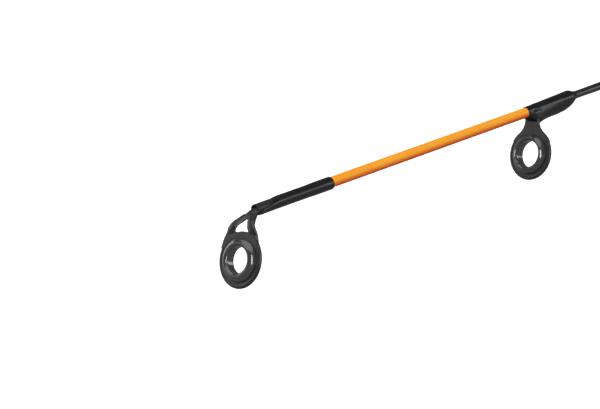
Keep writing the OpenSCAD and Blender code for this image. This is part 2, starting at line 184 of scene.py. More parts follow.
@dataclass(frozen=True)
class Effect:
    """A shader node group that several finishes share, on a vector and some numbers."""

    name: str
    numbers: dict[str, float]
    outputs: tuple[str, ...]
    fill: Callable[[NodeCanvas, Node], dict[str, Socket]]

    def tree(self) -> bpy.types.NodeTree:
        """The group's tree, built at the first call.

        Returns:
            The tree.
        """
        found = bpy.data.node_groups.get(self.name)
        if found:
            return found
        tree = bpy.data.node_groups.new(self.name, "ShaderNodeTree")
        sides = tree.interface
        sides.new_socket("Vector", in_out="INPUT", socket_type="NodeSocketVector")
        for label, default in self.numbers.items():
            sides.new_socket(label, in_out="INPUT", socket_type="NodeSocketFloat").default_value = default
        for label in self.outputs:
            kind = "NodeSocketVector" if label == "Normal" else "NodeSocketFloat"
            sides.new_socket(label, in_out="OUTPUT", socket_type=kind)
        canvas = NodeCanvas(tree)
        source, sink = canvas.add("NodeGroupInput"), canvas.add("NodeGroupOutput")
        canvas.put(sink, **self.fill(canvas, source))
        return tree

    def place(self, canvas: NodeCanvas, vector: Socket, **values: float) -> Node:
        """Adds the group to a material, on its vector and with its own numbers."""
        return canvas.put(canvas.add("Group", node_tree=self.tree()), Vector=vector, **values)


def grain_nodes(canvas: NodeCanvas, source: Node) -> dict[str, Socket]:
    """Fine moulded or sprayed grain: a mask and a bumped normal.

    Args:
        canvas: The group's tree.
        source: The group's input node.

    Returns:
        The group's outputs by name.
    """
    vector, scale = source.outputs["Vector"], source.outputs["Scale"]
    fine = canvas.make("TexNoise", "Fac", Vector=vector, Scale=scale, Detail=4.0, Roughness=0.62)
    broad = canvas.make("TexNoise", "Fac", Vector=vector, Scale=canvas.math("MULTIPLY", scale, 0.13),
                        Detail=2.0, Roughness=0.5)
    height = canvas.math("ADD", fine, canvas.math("MULTIPLY", broad, 0.6))
    normal = canvas.make("Bump", "Normal", Height=height, Distance=source.outputs["Relief"])
    return {"Mask": canvas.ramp(broad, 0.32, 0.7), "Normal": normal}


def rub_nodes(canvas: NodeCanvas, source: Node) -> dict[str, Socket]:
    """Mask of rubbed convex edges, broken up by noise.

    Args:
        canvas: The group's tree.
        source: The group's input node.

    Returns:
        The group's outputs by name.
    """
    breakup = canvas.make("TexNoise", "Fac", Vector=source.outputs["Vector"], Scale=1.7, Detail=5.0,
                          Roughness=0.7)
    edge = canvas.make("MapRange", "Result", Value=canvas.make("NewGeometry", "Pointiness"),
                       From_Min=source.outputs["Start"], From_Max=source.outputs["Full"])
    return {"Mask": canvas.math("MULTIPLY", edge, canvas.ramp(breakup, 0.42, 0.62))}


def dust_nodes(canvas: NodeCanvas, source: Node) -> dict[str, Socket]:
    """Mask of light dust that lies where a surface looks up.

    Args:
        canvas: The group's tree.
        source: The group's input node.

    Returns:
        The group's outputs by name.
    """
    specks = canvas.make("TexNoise", "Fac", Vector=source.outputs["Vector"], Scale=0.9, Detail=6.0,
                         Roughness=0.72)
    lying = canvas.math("MULTIPLY", canvas.ramp(canvas.upward(), 0.1, 1.0), canvas.ramp(specks, 0.45, 0.75))
    return {"Mask": canvas.math("MULTIPLY", lying, source.outputs["Amount"])}


GRAIN = Effect("surface_grain", {"Scale": 4.0, "Relief": 0.00001}, ("Mask", "Normal"), grain_nodes)
RUB = Effect("edge_rub", {"Start": 0.53, "Full": 0.62}, ("Mask",), rub_nodes)
DUST = Effect("dust_film", {"Amount": 0.1}, ("Mask",), dust_nodes)
DUST_GREY = (0.42, 0.41, 0.4)
# Painted shade: the near-black that the foam's pores are darkened to.
PORE_PAINTED_SHADE = (0.006, 0.006, 0.006)


@dataclass(frozen=True)
class Finish:
    """A surface finish with grain, slow tone change, rubbed edges and a trace of dust."""

    name: str
    slot: str
    base: Colour
    tone: Colour
    roughness: tuple[float, float] = (0.35, 0.5)
    grain_scale: float = 6.0
    relief_mm: float = 0.004
    stretch: Point3 = (1.0, 1.0, 1.0)
    metallic: float = 0.0
    specular: float = 0.5
    coat: float = 0.0
    coat_roughness: float = 0.1
    rub: Colour | None = None
    rub_span: tuple[float, float] = (0.53, 0.64)
    dust: float = 0.0

    def material(self) -> bpy.types.Material:
        """The finish's material, built at the first call.

        Returns:
            The material.
        """
        found = bpy.data.materials.get(self.name)
        if found:
            return found
        made = bpy.data.materials.new(self.name)
        made.use_nodes = True
        canvas = NodeCanvas(made.node_tree)
        shader = made.node_tree.nodes["Principled BSDF"]
        canvas.put(shader, Metallic=self.metallic, Specular_IOR_Level=self.specular,
                   Coat_Weight=self.coat, Coat_Roughness=self.coat_roughness)
        vector = canvas.make("Mapping", "Vector", Vector=canvas.make("TexCoord", "Object"),
                             Scale=[s / MM for s in self.stretch])
        grain = GRAIN.place(canvas, vector, Scale=self.grain_scale, Relief=self.relief_mm * MM)
        mask = grain.outputs["Mask"]
        colour = self.pattern(canvas, vector, canvas.mix_colour(mask, self.base, self.tone))
        rough = canvas.make("MapRange", "Result", Value=mask, To_Min=self.roughness[0],
                            To_Max=self.roughness[1])
        if self.rub is not None:
            rub = RUB.place(canvas, vector, Start=self.rub_span[0], Full=self.rub_span[1])
            colour = canvas.mix_colour(rub.outputs["Mask"], colour, self.rub)
        if self.dust > 0:
            film = DUST.place(canvas, vector, Amount=self.dust)
            colour = canvas.mix_colour(film.outputs["Mask"], colour, DUST_GREY)
        canvas.put(shader, Base_Color=colour, Roughness=rough,
                   Normal=self.relief(canvas, vector, grain.outputs["Normal"]))
        self.tune(shader)
        return made

    def pattern(self, canvas: NodeCanvas, vector: Socket, colour: Socket) -> Socket:
        """Adds the finish's own colour pattern; a plain finish has none."""
        return colour

    def relief(self, canvas: NodeCanvas, vector: Socket, normal: Socket) -> Socket:
        """Adds the finish's own relief to the normal; a plain finish has none."""
        return normal

    def tune(self, shader: Node) -> None:
        """Sets shader sockets that only this finish needs."""


def extra_bump(canvas: NodeCanvas, height: Socket, depth_mm: float, normal: Socket) -> Socket:
    """Lays one more bump of a depth in millimetres over a normal."""
    return canvas.make("Bump", "Normal", Height=height, Distance=depth_mm * MM, Normal=normal)


class BandRun(Enum):
    """Which way the bands of a finish run."""

    ACROSS = "X"
    SLANTED = "DIAGONAL"


@dataclass(frozen=True)
class BandedFinish(Finish):
    """A finish with fine bands across the rod, such as lathe rings or the marks of winding tape."""

    run: BandRun = BandRun.ACROSS
    band_scale: float = 5.0
    band_shift: float = 0.4
    band_detail: float = 2.0
    band_mm: float = 0.006

    def relief(self, canvas: NodeCanvas, vector: Socket, normal: Socket) -> Socket:
        """Raises the bands."""
        bands = canvas.make("TexWave", "Fac", {"bands_direction": self.run.value}, Vector=vector,
                            Scale=self.band_scale, Distortion=self.band_shift, Detail=self.band_detail)
        return extra_bump(canvas, bands, self.band_mm, normal)


@dataclass(frozen=True)
class FoamFinish(Finish):
    """Closed-cell foam: dull, with cut cells, scattered deeper pores and painted shade in the pores."""

    def cells(self, canvas: NodeCanvas, vector: Socket, low: float, high: float) -> Socket:
        """Distance from the middle of a cell, stretched between two values."""
        return canvas.ramp(canvas.make("TexVoronoi", "Distance", Vector=vector, Scale=2.4), low, high)

    def pattern(self, canvas: NodeCanvas, vector: Socket, colour: Socket) -> Socket:
        """Paints shade into the pores: darkens them."""
        return canvas.mix_colour(self.cells(canvas, vector, 0.24, 0.1), colour, PORE_PAINTED_SHADE)

    def relief(self, canvas: NodeCanvas, vector: Socket, normal: Socket) -> Socket:
        """Sinks the pores and raises the cells."""
        return extra_bump(canvas, self.cells(canvas, vector, 0.0, 0.34), 0.05, normal)

    def tune(self, shader: Node) -> None:
        """Gives the foam its soft sheen at grazing angles."""
        shader.inputs["Sheen Weight"].default_value = 0.25
        shader.inputs["Sheen Roughness"].default_value = 0.5


@dataclass(frozen=True)
class ShrinkFinish(Finish):
    """Shrunk plastic sleeve: glossy, drawn out along the rod, with small creases."""

    crease_mm: float = 0.02

    def relief(self, canvas: NodeCanvas, vector: Socket, normal: Socket) -> Socket:
        """Soft creases and dimples."""
        dents = canvas.make("TexNoise", "Fac", Vector=vector, Scale=0.9, Detail=3.0, Roughness=0.45,
                            Distortion=0.6)
        return extra_bump(canvas, dents, self.crease_mm, normal)


@dataclass(frozen=True)
class TranslucentFinish(Finish):
    """Coloured tube that lets a little light in, with painted shade: its colour is turned redder where the
    surface looks down.
    """

    # painted shade: the redder colour mixed in where the surface looks down
    painted_shade: Colour = (1.0, 0.1, 0.014)
    scatter_depth: Colour = (1.0, 0.22, 0.08)

    def pattern(self, canvas: NodeCanvas, vector: Socket, colour: Socket) -> Socket:
        """Paints shade: turns the colour redder where the surface looks down."""
        # painted shade, masked by how far the surface looks down
        return canvas.mix_colour(canvas.ramp(canvas.upward(), 0.1, -0.6), colour, self.painted_shade)

    def tune(self, shader: Node) -> None:
        """Adds scattering under the skin, warmer than the skin itself."""
        shader.subsurface_method = "RANDOM_WALK"
        for name, value in (("Weight", 0.25), ("Radius", self.scatter_depth), ("Scale", 0.0006)):
            shader.inputs["Subsurface " + name].default_value = value


SHRINK = ShrinkFinish("shrunk_sleeve", "shrink_tube", (0.005, 0.005, 0.0055), (0.008, 0.008, 0.0085),
                      roughness=(0.28, 0.38), grain_scale=3.0, relief_mm=0.004, stretch=(0.45, 1.0, 1.0),
                      specular=0.45, dust=0.03)
# orange tube, with painted shade on its lower side from TranslucentFinish
ORANGE = TranslucentFinish("translucent_orange", "orange_tube", (1.0, 0.345, 0.014), (1.0, 0.39, 0.02),
                           roughness=(0.4, 0.52), grain_scale=2.2, relief_mm=0.003,
                           stretch=(0.25, 1.0, 1.0), specular=0.22, dust=0.02)
FRAME = Finish("frame_black_coat", "black_frame_metal", (0.017, 0.017, 0.0175), (0.023, 0.023, 0.0235),
               roughness=(0.27, 0.36), grain_scale=9.0, relief_mm=0.003, specular=0.5,
               rub=(0.08, 0.08, 0.082), rub_span=(0.56, 0.7), dust=0.03)
RING = Finish("ring_polished", "ring_ceramic", (0.036, 0.036, 0.037), (0.044, 0.044, 0.045),
              roughness=(0.09, 0.13), grain_scale=7.0, relief_mm=0.0006, specular=1.0)
BLANK = BandedFinish("lacquered_glass", "blank_lacquer", (0.011, 0.011, 0.0122), (0.016, 0.016, 0.0172),
                     roughness=(0.3, 0.42), grain_scale=2.0, relief_mm=0.003, stretch=(0.2, 1.0, 1.0),
                     specular=0.5, coat=0.3, coat_roughness=0.2, dust=0.03, run=BandRun.SLANTED,
                     band_scale=0.55, band_shift=0.8, band_detail=3.0, band_mm=0.008)
FOAM = FoamFinish("cut_foam", "grip_foam", (0.02, 0.02, 0.021), (0.034, 0.034, 0.036),
                  roughness=(0.82, 0.95), grain_scale=5.0, relief_mm=0.03, specular=0.25,
                  rub=(0.05, 0.05, 0.052), rub_span=(0.54, 0.66), dust=0.12)
NYLON = Finish("moulded_nylon", "seat_nylon", (0.016, 0.016, 0.017), (0.026, 0.026, 0.028),
               roughness=(0.42, 0.6), grain_scale=11.0, relief_mm=0.006, specular=0.45,
               rub=(0.075, 0.075, 0.078), rub_span=(0.54, 0.66), dust=0.1)
RUBBER = Finish("matt_rubber", "soft_rubber", (0.014, 0.014, 0.014), (0.024, 0.024, 0.025),
                roughness=(0.62, 0.8), grain_scale=8.0, relief_mm=0.01, specular=0.35,
                rub=(0.04, 0.04, 0.04), rub_span=(0.54, 0.68), dust=0.16)
METAL = BandedFinish("trim_gunmetal", "trim_aluminium", (0.2, 0.2, 0.21), (0.26, 0.26, 0.27),
                     roughness=(0.24, 0.36), grain_scale=5.0, relief_mm=0.002, metallic=1.0,
                     rub=(0.5, 0.5, 0.51), rub_span=(0.55, 0.68))
ARBOR = Finish("bushing_plastic", "arbor_plastic", (0.04, 0.04, 0.04), (0.06, 0.06, 0.06),
               roughness=(0.6, 0.8), grain_scale=4.0, relief_mm=0.02)
THREAD = ShrinkFinish("whipping_lacquer", "shrink_tube", (0.008, 0.008, 0.009), (0.014, 0.014, 0.016),
                      roughness=(0.18, 0.3), grain_scale=3.0, relief_mm=0.004, coat=0.6, crease_mm=0.01)


# ---------------------------------------------------------------- mesh tools


def box_of(node: str) -> tuple[Vector, Vector]:
    """Lowest and highest corners of a CAD node in millimetres."""
    low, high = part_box(node)
    return low / MM, high / MM


def placed(name: str, data: bpy.types.ID) -> Piece:
    """Makes an object and links it to the scene.

    Args:
        name: The object's name.
        data: Its mesh, lamp or camera.

    Returns:
        The new object.
    """
    made = bpy.data.objects.new(name, data)
    bpy.context.scene.collection.objects.link(made)
    return made


def mesh_object(name: str, points: Iterable[Sequence[float]], faces: Iterable[Sequence[int]],
                scale: float = MM) -> Piece:
    """Makes a mesh object with clean outward normals.

    Args:
        name: The object's name.
        points: Vertices in millimetres.
        faces: Vertex indices of each face.
        scale: Factor from the given numbers to metres.

    Returns:
        The new object, linked to the scene.
    """
    mesh = bpy.data.meshes.new(name)
    mesh.from_pydata([tuple(c * scale for c in p) for p in points], [], [tuple(f) for f in faces])
    tidy_mesh(mesh, MERGE if scale == MM else 100 * MERGE)
    return placed(name, mesh)


def tidy_mesh(mesh: bpy.types.Mesh, merge: float = MERGE) -> None:
    """Merges doubles, turns the faces outwards and shades them smooth.

    Args:
        mesh: The mesh to tidy.
        merge: Distance under which vertices are one, in the mesh's unit.
    """
    work = bmesh.new()
    work.from_mesh(mesh)
    bmesh.ops.remove_doubles(work, verts=work.verts, dist=merge)
    bmesh.ops.recalc_face_normals(work, faces=work.faces)
    for face in work.faces:
        face.smooth = True
    work.to_mesh(mesh)
    work.free()


def grid_faces(rows: int, columns: int, wrap_rows: bool = False) -> list[tuple[int, ...]]:
    """Quads between closed rings of points stored ring by ring.

    Args:
        rows: Number of rings.
        columns: Points in a ring.
        wrap_rows: Whether the last ring joins the first.

    Returns:
        The faces.
    """
    faces = []
    for i in range(rows if wrap_rows else rows - 1):
        here, there = i * columns, (i + 1) % rows * columns
        for c in range(columns):
            d = (c + 1) % columns
            faces.append((here + c, here + d, there + d, there + c))
    return faces


def tube_faces(rows: int, columns: int) -> list[tuple[int, ...]]:
    """Faces of a tube made of rings of points, with both its ends closed.

    Args:
        rows: Number of rings.
        columns: Points in a ring.

    Returns:
        The faces.
    """
    faces = grid_faces(rows, columns)
    faces.append(tuple(range(columns)))
    faces.append(tuple(range((rows - 1) * columns, rows * columns)))
    return faces


def even_steps(start: float, stop: float, steps: int) -> list[float]:
    """Evenly spaced values, with both ends among them."""
    return [start + (stop - start) * i / steps for i in range(steps + 1)]


def turn_angles(count: int) -> list[float]:
    """Angles of evenly spaced points round a full turn."""
    return [2 * math.pi * k / count for k in range(count)]


def quarter_turn(steps: int) -> list[float]:
    """Angles of evenly spaced points in a quarter turn, without its start."""
    return [math.pi / 2 * i / steps for i in range(1, steps + 1)]


def circle_points(radius: float, degrees: Iterable[float]) -> list[Point2]:
    """Points of a circle at some angles."""
    return [(radius * math.cos(a), radius * math.sin(a)) for a in map(math.radians, degrees)]


def rear_corner(x: float, r: float, size: float, steps: int) -> list[Point2]:
    """Rounded corner of a turned profile, from its rear face at x up to the radius r."""
    return [(x + size - size * math.cos(t), r - size + size * math.sin(t)) for t in quarter_turn(steps)]


def front_corner(x: float, r: float, size: float, steps: int) -> list[Point2]:
    """Rounded corner of a turned profile, from the radius r down to its front face at x."""
    return [(x - size + size * math.sin(t), r - size + size * math.cos(t)) for t in quarter_turn(steps)]


def eased(start: Point2, stop: Point2, steps: int) -> list[Point2]:
    """A run of a turned profile that leaves and reaches its ends level, without its first point.

    Args:
        start: Station and radius where it starts.
        stop: Station and radius where it ends.
        steps: Number of points.

    Returns:
        The points.
    """
    (x, r), (end_x, end_r) = start, stop
    shares = [i / steps for i in range(1, steps + 1)]
    return [(x + (end_x - x) * t, r + (end_r - r) * (1 - math.cos(math.pi * t)) / 2) for t in shares]


def skin_noise(x: float, angle: float, along: float, around: float) -> float:
    """Slow noise on a turned skin, at a station and an angle, with its scales along and around."""
    return noise.noise((x * along, around * math.cos(angle), around * math.sin(angle)))


def fillet(points: Sequence[Point2], radius: float, steps: int) -> list[Point2]:
    """Rounds the corners of a closed profile.

    Args:
        points: The profile's corners.
        radius: Rounding, cut down where an edge is short.
        steps: Steps on each corner.

    Returns:
        The rounded profile.
    """
    count = len(points)
    out: list[Point2] = []
    for i, here in enumerate(points):
        p, a, b = Vector(here), Vector(points[i - 1]), Vector(points[(i + 1) % count])
        to_a, to_b = a - p, b - p
        cut = min(radius, 0.45 * to_a.length, 0.45 * to_b.length)
        first, last = p + to_a.normalized() * cut, p + to_b.normalized() * cut
        for t in even_steps(0.0, 1.0, steps):
            spot = first * (1 - t) ** 2 + p * 2 * t * (1 - t) + last * t * t
            out.append((spot.x, spot.y))
    return out


def revolve(name: str, profile: Sequence[Point2], segments: int,
            ripple: Callable[[float, float], float] | None = None, scale: float = MM) -> Piece:
    """Turns a profile of (station, radius) points about the X axis.

    Args:
        name: The object's name.
        profile: The profile. A closed loop where no radius is 0, or an open line that ends on the axis.
        segments: Steps round the axis.
        ripple: Optional change of radius, from station and angle.
        scale: Factor from the given numbers to metres.

    Returns:
        The new object.
    """
    solid = profile[0][1] == 0 and profile[-1][1] == 0
    points: list[Point3] = []
    for x, r in profile:
        for angle in turn_angles(segments):
            grown = r + (ripple(x, angle) if ripple and r > 0 else 0.0)
            points.append((x, grown * math.cos(angle), grown * math.sin(angle)))
    faces = grid_faces(len(profile), segments, not solid)
    return mesh_object(name, points, faces, scale)


def sweep(name: str, path: Sequence[Point3], sections: Sequence[Point2], segments: int = 20,
          scale: float = 1.0) -> Piece:
    """Carries an oval section along a path and closes its ends. Its width is measured along Y.

    Args:
        name: The object's name.
        path: Points of the middle line.
        sections: Half width and half thickness at each point.
        segments: Points round a section.
        scale: Factor from the given numbers to metres.

    Returns:
        The new object.
    """
    line, side = [Vector(p) for p in path], Vector((0.0, 1.0, 0.0))
    points: list[Sequence[float]] = []
    for i, spot in enumerate(line):
        along = (line[min(i + 1, len(line) - 1)] - line[max(i - 1, 0)]).normalized()
        across = (side - along * along.dot(side)).normalized()
        thick = along.cross(across)
        half_w, half_t = sections[i]
        for a in turn_angles(segments):
            points.append(spot + across * half_w * math.cos(a) + thick * half_t * math.sin(a))
    return mesh_object(name, points, tube_faces(len(line), segments), scale)


def shell(name: str, outside: Sequence[Sequence[Point3]], inside: Sequence[Sequence[Point3]],
          closed_front: bool) -> Piece:
    """A thin skin between two sets of rings, joined at the rear and, unless it's closed, at the front.

    Args:
        name: The object's name.
        outside: Rings of the outer skin from rear to front.
        inside: Rings of the inner skin from rear to front.
        closed_front: Whether the front is a closed dome.

    Returns:
        The new object.
    """
    count, rows = len(outside[0]), len(outside)
    points = [p for ring in list(outside) + list(inside) for p in ring]
    faces = grid_faces(rows, count)
    base = rows * count
    faces += [tuple(base + v for v in face) for face in faces]
    for row in (0,) if closed_front else (0, rows - 1):
        for k in range(count):
            a, b = row * count + k, row * count + (k + 1) % count
            faces.append((a, b, base + b, base + a))
    if closed_front:
        faces += [tuple(range(base - count, base)), tuple(range(2 * base - count, 2 * base))]
    return mesh_object(name, points, faces)


def extrude_outline(name: str, outline: Sequence[Point2], half: float, place: Matrix) -> Piece:
    """Gives a closed outline a thickness and sets it in place, in millimetres.

    Args:
        name: The object's name.
        outline: Points in the plane.
        half: Half of the thickness.
        place: From the plane's axes to the rod's.

    Returns:
        The new object.
    """
    count = len(outline)
    points = [place @ Vector((x, y, z)) for z in (-half, half) for x, y in outline]
    faces = [tuple(range(count)), tuple(range(count, 2 * count))]
    faces += [(i, (i + 1) % count, count + (i + 1) % count, count + i) for i in range(count)]
    return mesh_object(name, points, faces, 1.0)


def evaluated(source: Piece, name: str, scale: float = 1.0) -> Piece:
    """A plain mesh object of what an object's modifiers make, in place of that object.

    Args:
        source: The object with live modifiers.
        name: Name of the plain object.
        scale: Factor on its vertices.

    Returns:
        The plain object.
    """
    graph = bpy.context.evaluated_depsgraph_get()
    mesh = bpy.data.meshes.new_from_object(source.evaluated_get(graph), depsgraph=graph)
    mesh.transform(Matrix.Scale(scale, 4))
    bpy.data.objects.remove(source)
    mesh.name = name
    return placed(name, mesh)


def join_meshes(name: str, parts: Sequence[Piece]) -> Piece:
    """Puts several mesh objects into one, and removes them.

    Args:
        name: Name of the joined object.
        parts: The objects.

    Returns:
        The joined object.
    """
    work = bmesh.new()
    for part in parts:
        work.from_mesh(part.data)
    mesh = bpy.data.meshes.new(name)
    work.to_mesh(mesh)
    work.free()
    for part in parts:
        bpy.data.objects.remove(part)
    return placed(name, mesh)


def fuse(name: str, parts: Sequence[Piece], voxel: float, smooth: int) -> Piece:
    """Melts overlapping millimetre-sized parts into one skin with soft corners.

    Args:
        name: The object's name.
        parts: Closed meshes in millimetres.
        voxel: Size of the remesh in millimetres.
        smooth: Passes of smoothing.

    Returns:
        One closed mesh in metres.
    """
    body = join_meshes(name + "_raw", parts)
    remesh = body.modifiers.new("melt", "REMESH")
    remesh.mode = "VOXEL"
    remesh.voxel_size = voxel
    soft = body.modifiers.new("soften", "SMOOTH")
    soft.factor = 0.5
    soft.iterations = smooth
    made = evaluated(body, name, MM)
    tidy_mesh(made.data)
    return made


def softened_node(node: str, name: str, voxel: float, smooth: int) -> Piece:
    """A copy of a CAD node with its corners rounded, as a moulded piece has them.

    Args:
        node: The CAD node.
        name: Name of the copy.
        voxel: Size of the remesh in millimetres.
        smooth: Passes of smoothing.

    Returns:
        The copy, in metres.
    """
    mesh = frame["nodes"][node].data.copy()
    mesh.materials.clear()
    mesh.transform(Matrix.Scale(1 / MM, 4))
    tidy_mesh(mesh, MERGE / MM)
    return fuse(name, [placed(name + "_copy", mesh)], voxel, smooth)


def dress(piece: Piece, finish: Finish, body: str, node: str) -> Piece:
    """Gives a piece its finish and its body, hides the CAD node it stands for, and reports it.

    Args:
        piece: The finished mesh object.
        finish: Its surface.
        body: The CAD body it rides on.
        node: The CAD node it replaces.

    Returns:
        The piece.
    """
    piece.data.materials.clear()
    piece.data.materials.append(finish.material())
    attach(piece, body)
    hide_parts(node)
    LOG.info("%s: %s on %s, %d faces", piece.name, finish.name, body, len(piece.data.polygons))
    return piece


def ring_place(centre: Vector) -> Matrix:
    """From a leaning ring's plane to the rod: x is sideways, y up the ring, z forwards."""
    turn = Matrix(((0.0, -math.sin(LEAN), math.cos(LEAN)), (1.0, 0.0, 0.0),
                   (0.0, math.cos(LEAN), math.sin(LEAN)))).to_4x4()
    return Matrix.Translation(centre) @ turn


# ---------------------------------------------------------------- geometry nodes


@dataclass
class RibRing:
    """Rounded bars along X set round the rod's axis, made with geometry nodes."""

    start: float
    length: float
    radius: float
    half_thick: float
    count: int
    finish: Finish

    def tree(self) -> bpy.types.NodeTree:
        """Builds the node tree: a stretched ball on each point of a circle, moved to its station.

        Returns:
            The geometry node tree.
        """
        tree = bpy.data.node_groups.new("axis_ribs", "GeometryNodeTree")
        kinds = {"Geometry": "Geometry", "Start": "Float", "Length": "Float", "Radius": "Float",
                 "Half Thickness": "Float", "Count": "Int", "Material": "Material"}
        for label, kind in kinds.items():
            tree.interface.new_socket(label, in_out="INPUT", socket_type="NodeSocket" + kind)
        tree.interface.new_socket("Geometry", in_out="OUTPUT", socket_type="NodeSocketGeometry")
        canvas = NodeCanvas(tree)
        source, sink = canvas.add("NodeGroupInput"), canvas.add("NodeGroupOutput")
        given = {label: source.outputs[label] for label in kinds}
        circle = canvas.make("GeometryNodeMeshCircle", "Mesh", Vertices=given["Count"],
                             Radius=given["Radius"])
        upright = canvas.make("GeometryNodeTransform", "Geometry", Geometry=circle,
                              Rotation=(0.0, math.pi / 2, 0.0))
        ball = canvas.make("GeometryNodeMeshUVSphere", "Mesh", Segments=16, Rings=12, Radius=1.0)
        half = canvas.math("MULTIPLY", given["Length"], 0.5)
        size = canvas.make("CombineXYZ", "Vector", X=half, Y=given["Half Thickness"],
                           Z=given["Half Thickness"])
        bar = canvas.make("GeometryNodeTransform", "Geometry", Geometry=ball, Scale=size)
        ribs = canvas.make("GeometryNodeInstanceOnPoints", "Instances", Points=upright, Instance=bar)
        station = canvas.make("CombineXYZ", "Vector", X=canvas.math("ADD", given["Start"], half))
        moved = canvas.make("GeometryNodeTransform", "Geometry", Geometry=ribs, Translation=station)
        real = canvas.make("GeometryNodeRealizeInstances", "Geometry", Geometry=moved)
        painted = canvas.make("GeometryNodeSetMaterial", "Geometry", Geometry=real,
                              Material=given["Material"])
        canvas.put(sink, Geometry=painted)
        return tree

    def build(self, name: str) -> Piece:
        """Runs the tree and keeps its result as a plain mesh.

        Args:
            name: The object's name.

        Returns:
            The plain mesh object.
        """
        host = mesh_object(name + "_host", [(0, 0, 0), (1, 0, 0), (0, 1, 0)], [(0, 1, 2)])
        modifier = host.modifiers.new("ribs", "NODES")
        tree = self.tree()
        modifier.node_group = tree
        values = {"Start": self.start * MM, "Length": self.length * MM, "Radius": self.radius * MM,
                  "Half Thickness": self.half_thick * MM, "Count": self.count,
                  "Material": self.finish.material()}
        for item in tree.interface.items_tree:
            if item.in_out == "INPUT" and item.name in values:
                modifier[item.identifier] = values[item.name]
        made = evaluated(host, name)
        tidy_mesh(made.data, 0.1 * MERGE)
        return made


# ---------------------------------------------------------------- the rod


@dataclass
class Blank:
    """The tapered blank and the coloured tube over its tip."""

    mid_radius: float = 0.77
    tip_radius: float = 0.67
    tip_section: float = 98.0
    edge: float = 0.1

    def __post_init__(self) -> None:
        """Reads the stations from the CAD nodes."""
        low, high = box_of("blank")
        self.start, self.end, self.butt_radius = low.x, high.x, high.y
        self.taper_start = box_of("fore_grip")[1].x
        self.mid = box_of("tip_top_tube")[1].x + 3.0 - self.tip_section

    def radius(self, x: float) -> float:
        """The blank's radius at a station: straight to the fore grip's end, then two tapers."""
        stations = (self.taper_start, self.mid, self.end)
        return float(np.interp(x, stations, (self.butt_radius, self.mid_radius, self.tip_radius)))

    def build(self) -> list[Piece]:
        """Makes the blank and the coloured tube.

        Returns:
            Both pieces.
        """
        stations = even_steps(self.start, self.end, 220)
        line = [(self.start, 0.0), *((x, self.radius(x)) for x in stations), (self.end, 0.0)]
        rod = revolve("blank_shaft", line, 48, lambda x, a: -0.006 + 0.004 * math.sin(0.9 * x + a))
        low, high = box_of("tip_sleeve")
        outer, inner, edge = high.y, self.radius(low.x) + 0.03, self.edge
        loop = [(high.x, inner), (high.x, outer - edge), (high.x - edge, outer)]
        loop += [(x, outer) for x in even_steps(high.x - 2 * edge, low.x + 2 * edge, 90)]
        loop += [(low.x + edge, outer), (low.x, outer - edge), (low.x, inner)]
        tube = revolve("tip_colour_tube", loop, 72,
                       lambda x, a: 0.008 * (skin_noise(x, a, 0.11, 1.0) - 0.3))
        return [dress(rod, BLANK, "rod", "blank"), dress(tube, ORANGE, "rod", "tip_sleeve")]


def smooth_line(points: Sequence[Point2], rounds: int) -> list[Point2]:
    """Cuts the corners of a closed line again and again, so that it runs smooth.

    Args:
        points: The control points.
        rounds: How often the corners are cut.

    Returns:
        The smooth line.
    """
    line = list(points)
    for _ in range(rounds):
        pairs = zip(line, line[1:] + line[:1])
        line = [(near * ax + (1 - near) * bx, near * ay + (1 - near) * by)
                for (ax, ay), (bx, by) in pairs for near in (0.75, 0.25)]
    return line


def insert_loop(hole: float, outer: float, front: float, back: float, seat_half: float) -> list[Point2]:
    """Section of a ring insert: a straight bore, a full round face and a step down to its seat.

    Args:
        hole: Radius of the hole.
        outer: Outer radius of the insert.
        front: How far the face stands in front of the seat's middle.
        back: How far it stands behind it.
        seat_half: Half of the length where it sits in its frame.

    Returns:
        A closed loop of (along the hole, radius) points.
    """
    face = [(0.25, 0.0), (0.56, 0.0), (0.74, 0.03), (0.92, 0.2), (1.0, 0.32), (1.0, 0.42), (0.94, 0.52),
            (0.85, 0.65), (0.73, 0.78), (0.56, 0.9)]
    right = [(front * a, hole + (outer - hole) * r) for a, r in face] + [(seat_half, outer)]
    left = [(-back * a, hole + (outer - hole) * r) for a, r in face] + [(-seat_half, outer)]
    return smooth_line(right + left[::-1], 3)


def disc_loop(seat: float, outer: float, half: float) -> list[Point2]:
    """Section of a pressed disc: a raised lip at the seat, a shallow dip, a rolled rim.

    Args:
        seat: Radius of the hole for the insert.
        outer: Radius of the disc.
        half: Half of the plate's thickness.

    Returns:
        A closed loop of (across the plate, radius) points.
    """
    width = outer - seat
    face = [(0.8, 0.0), (0.98, 0.04), (1.0, 0.14), (0.84, 0.28), (0.82, 0.42), (0.96, 0.56),
            (0.98, 0.68), (0.86, 0.8), (0.64, 0.91), (0.34, 0.98), (0.0, 1.0)]
    right = [(half * h, seat + width * w) for h, w in face]
    left = [(-x, r) for x, r in reversed(right[:-1])]
    return right + left


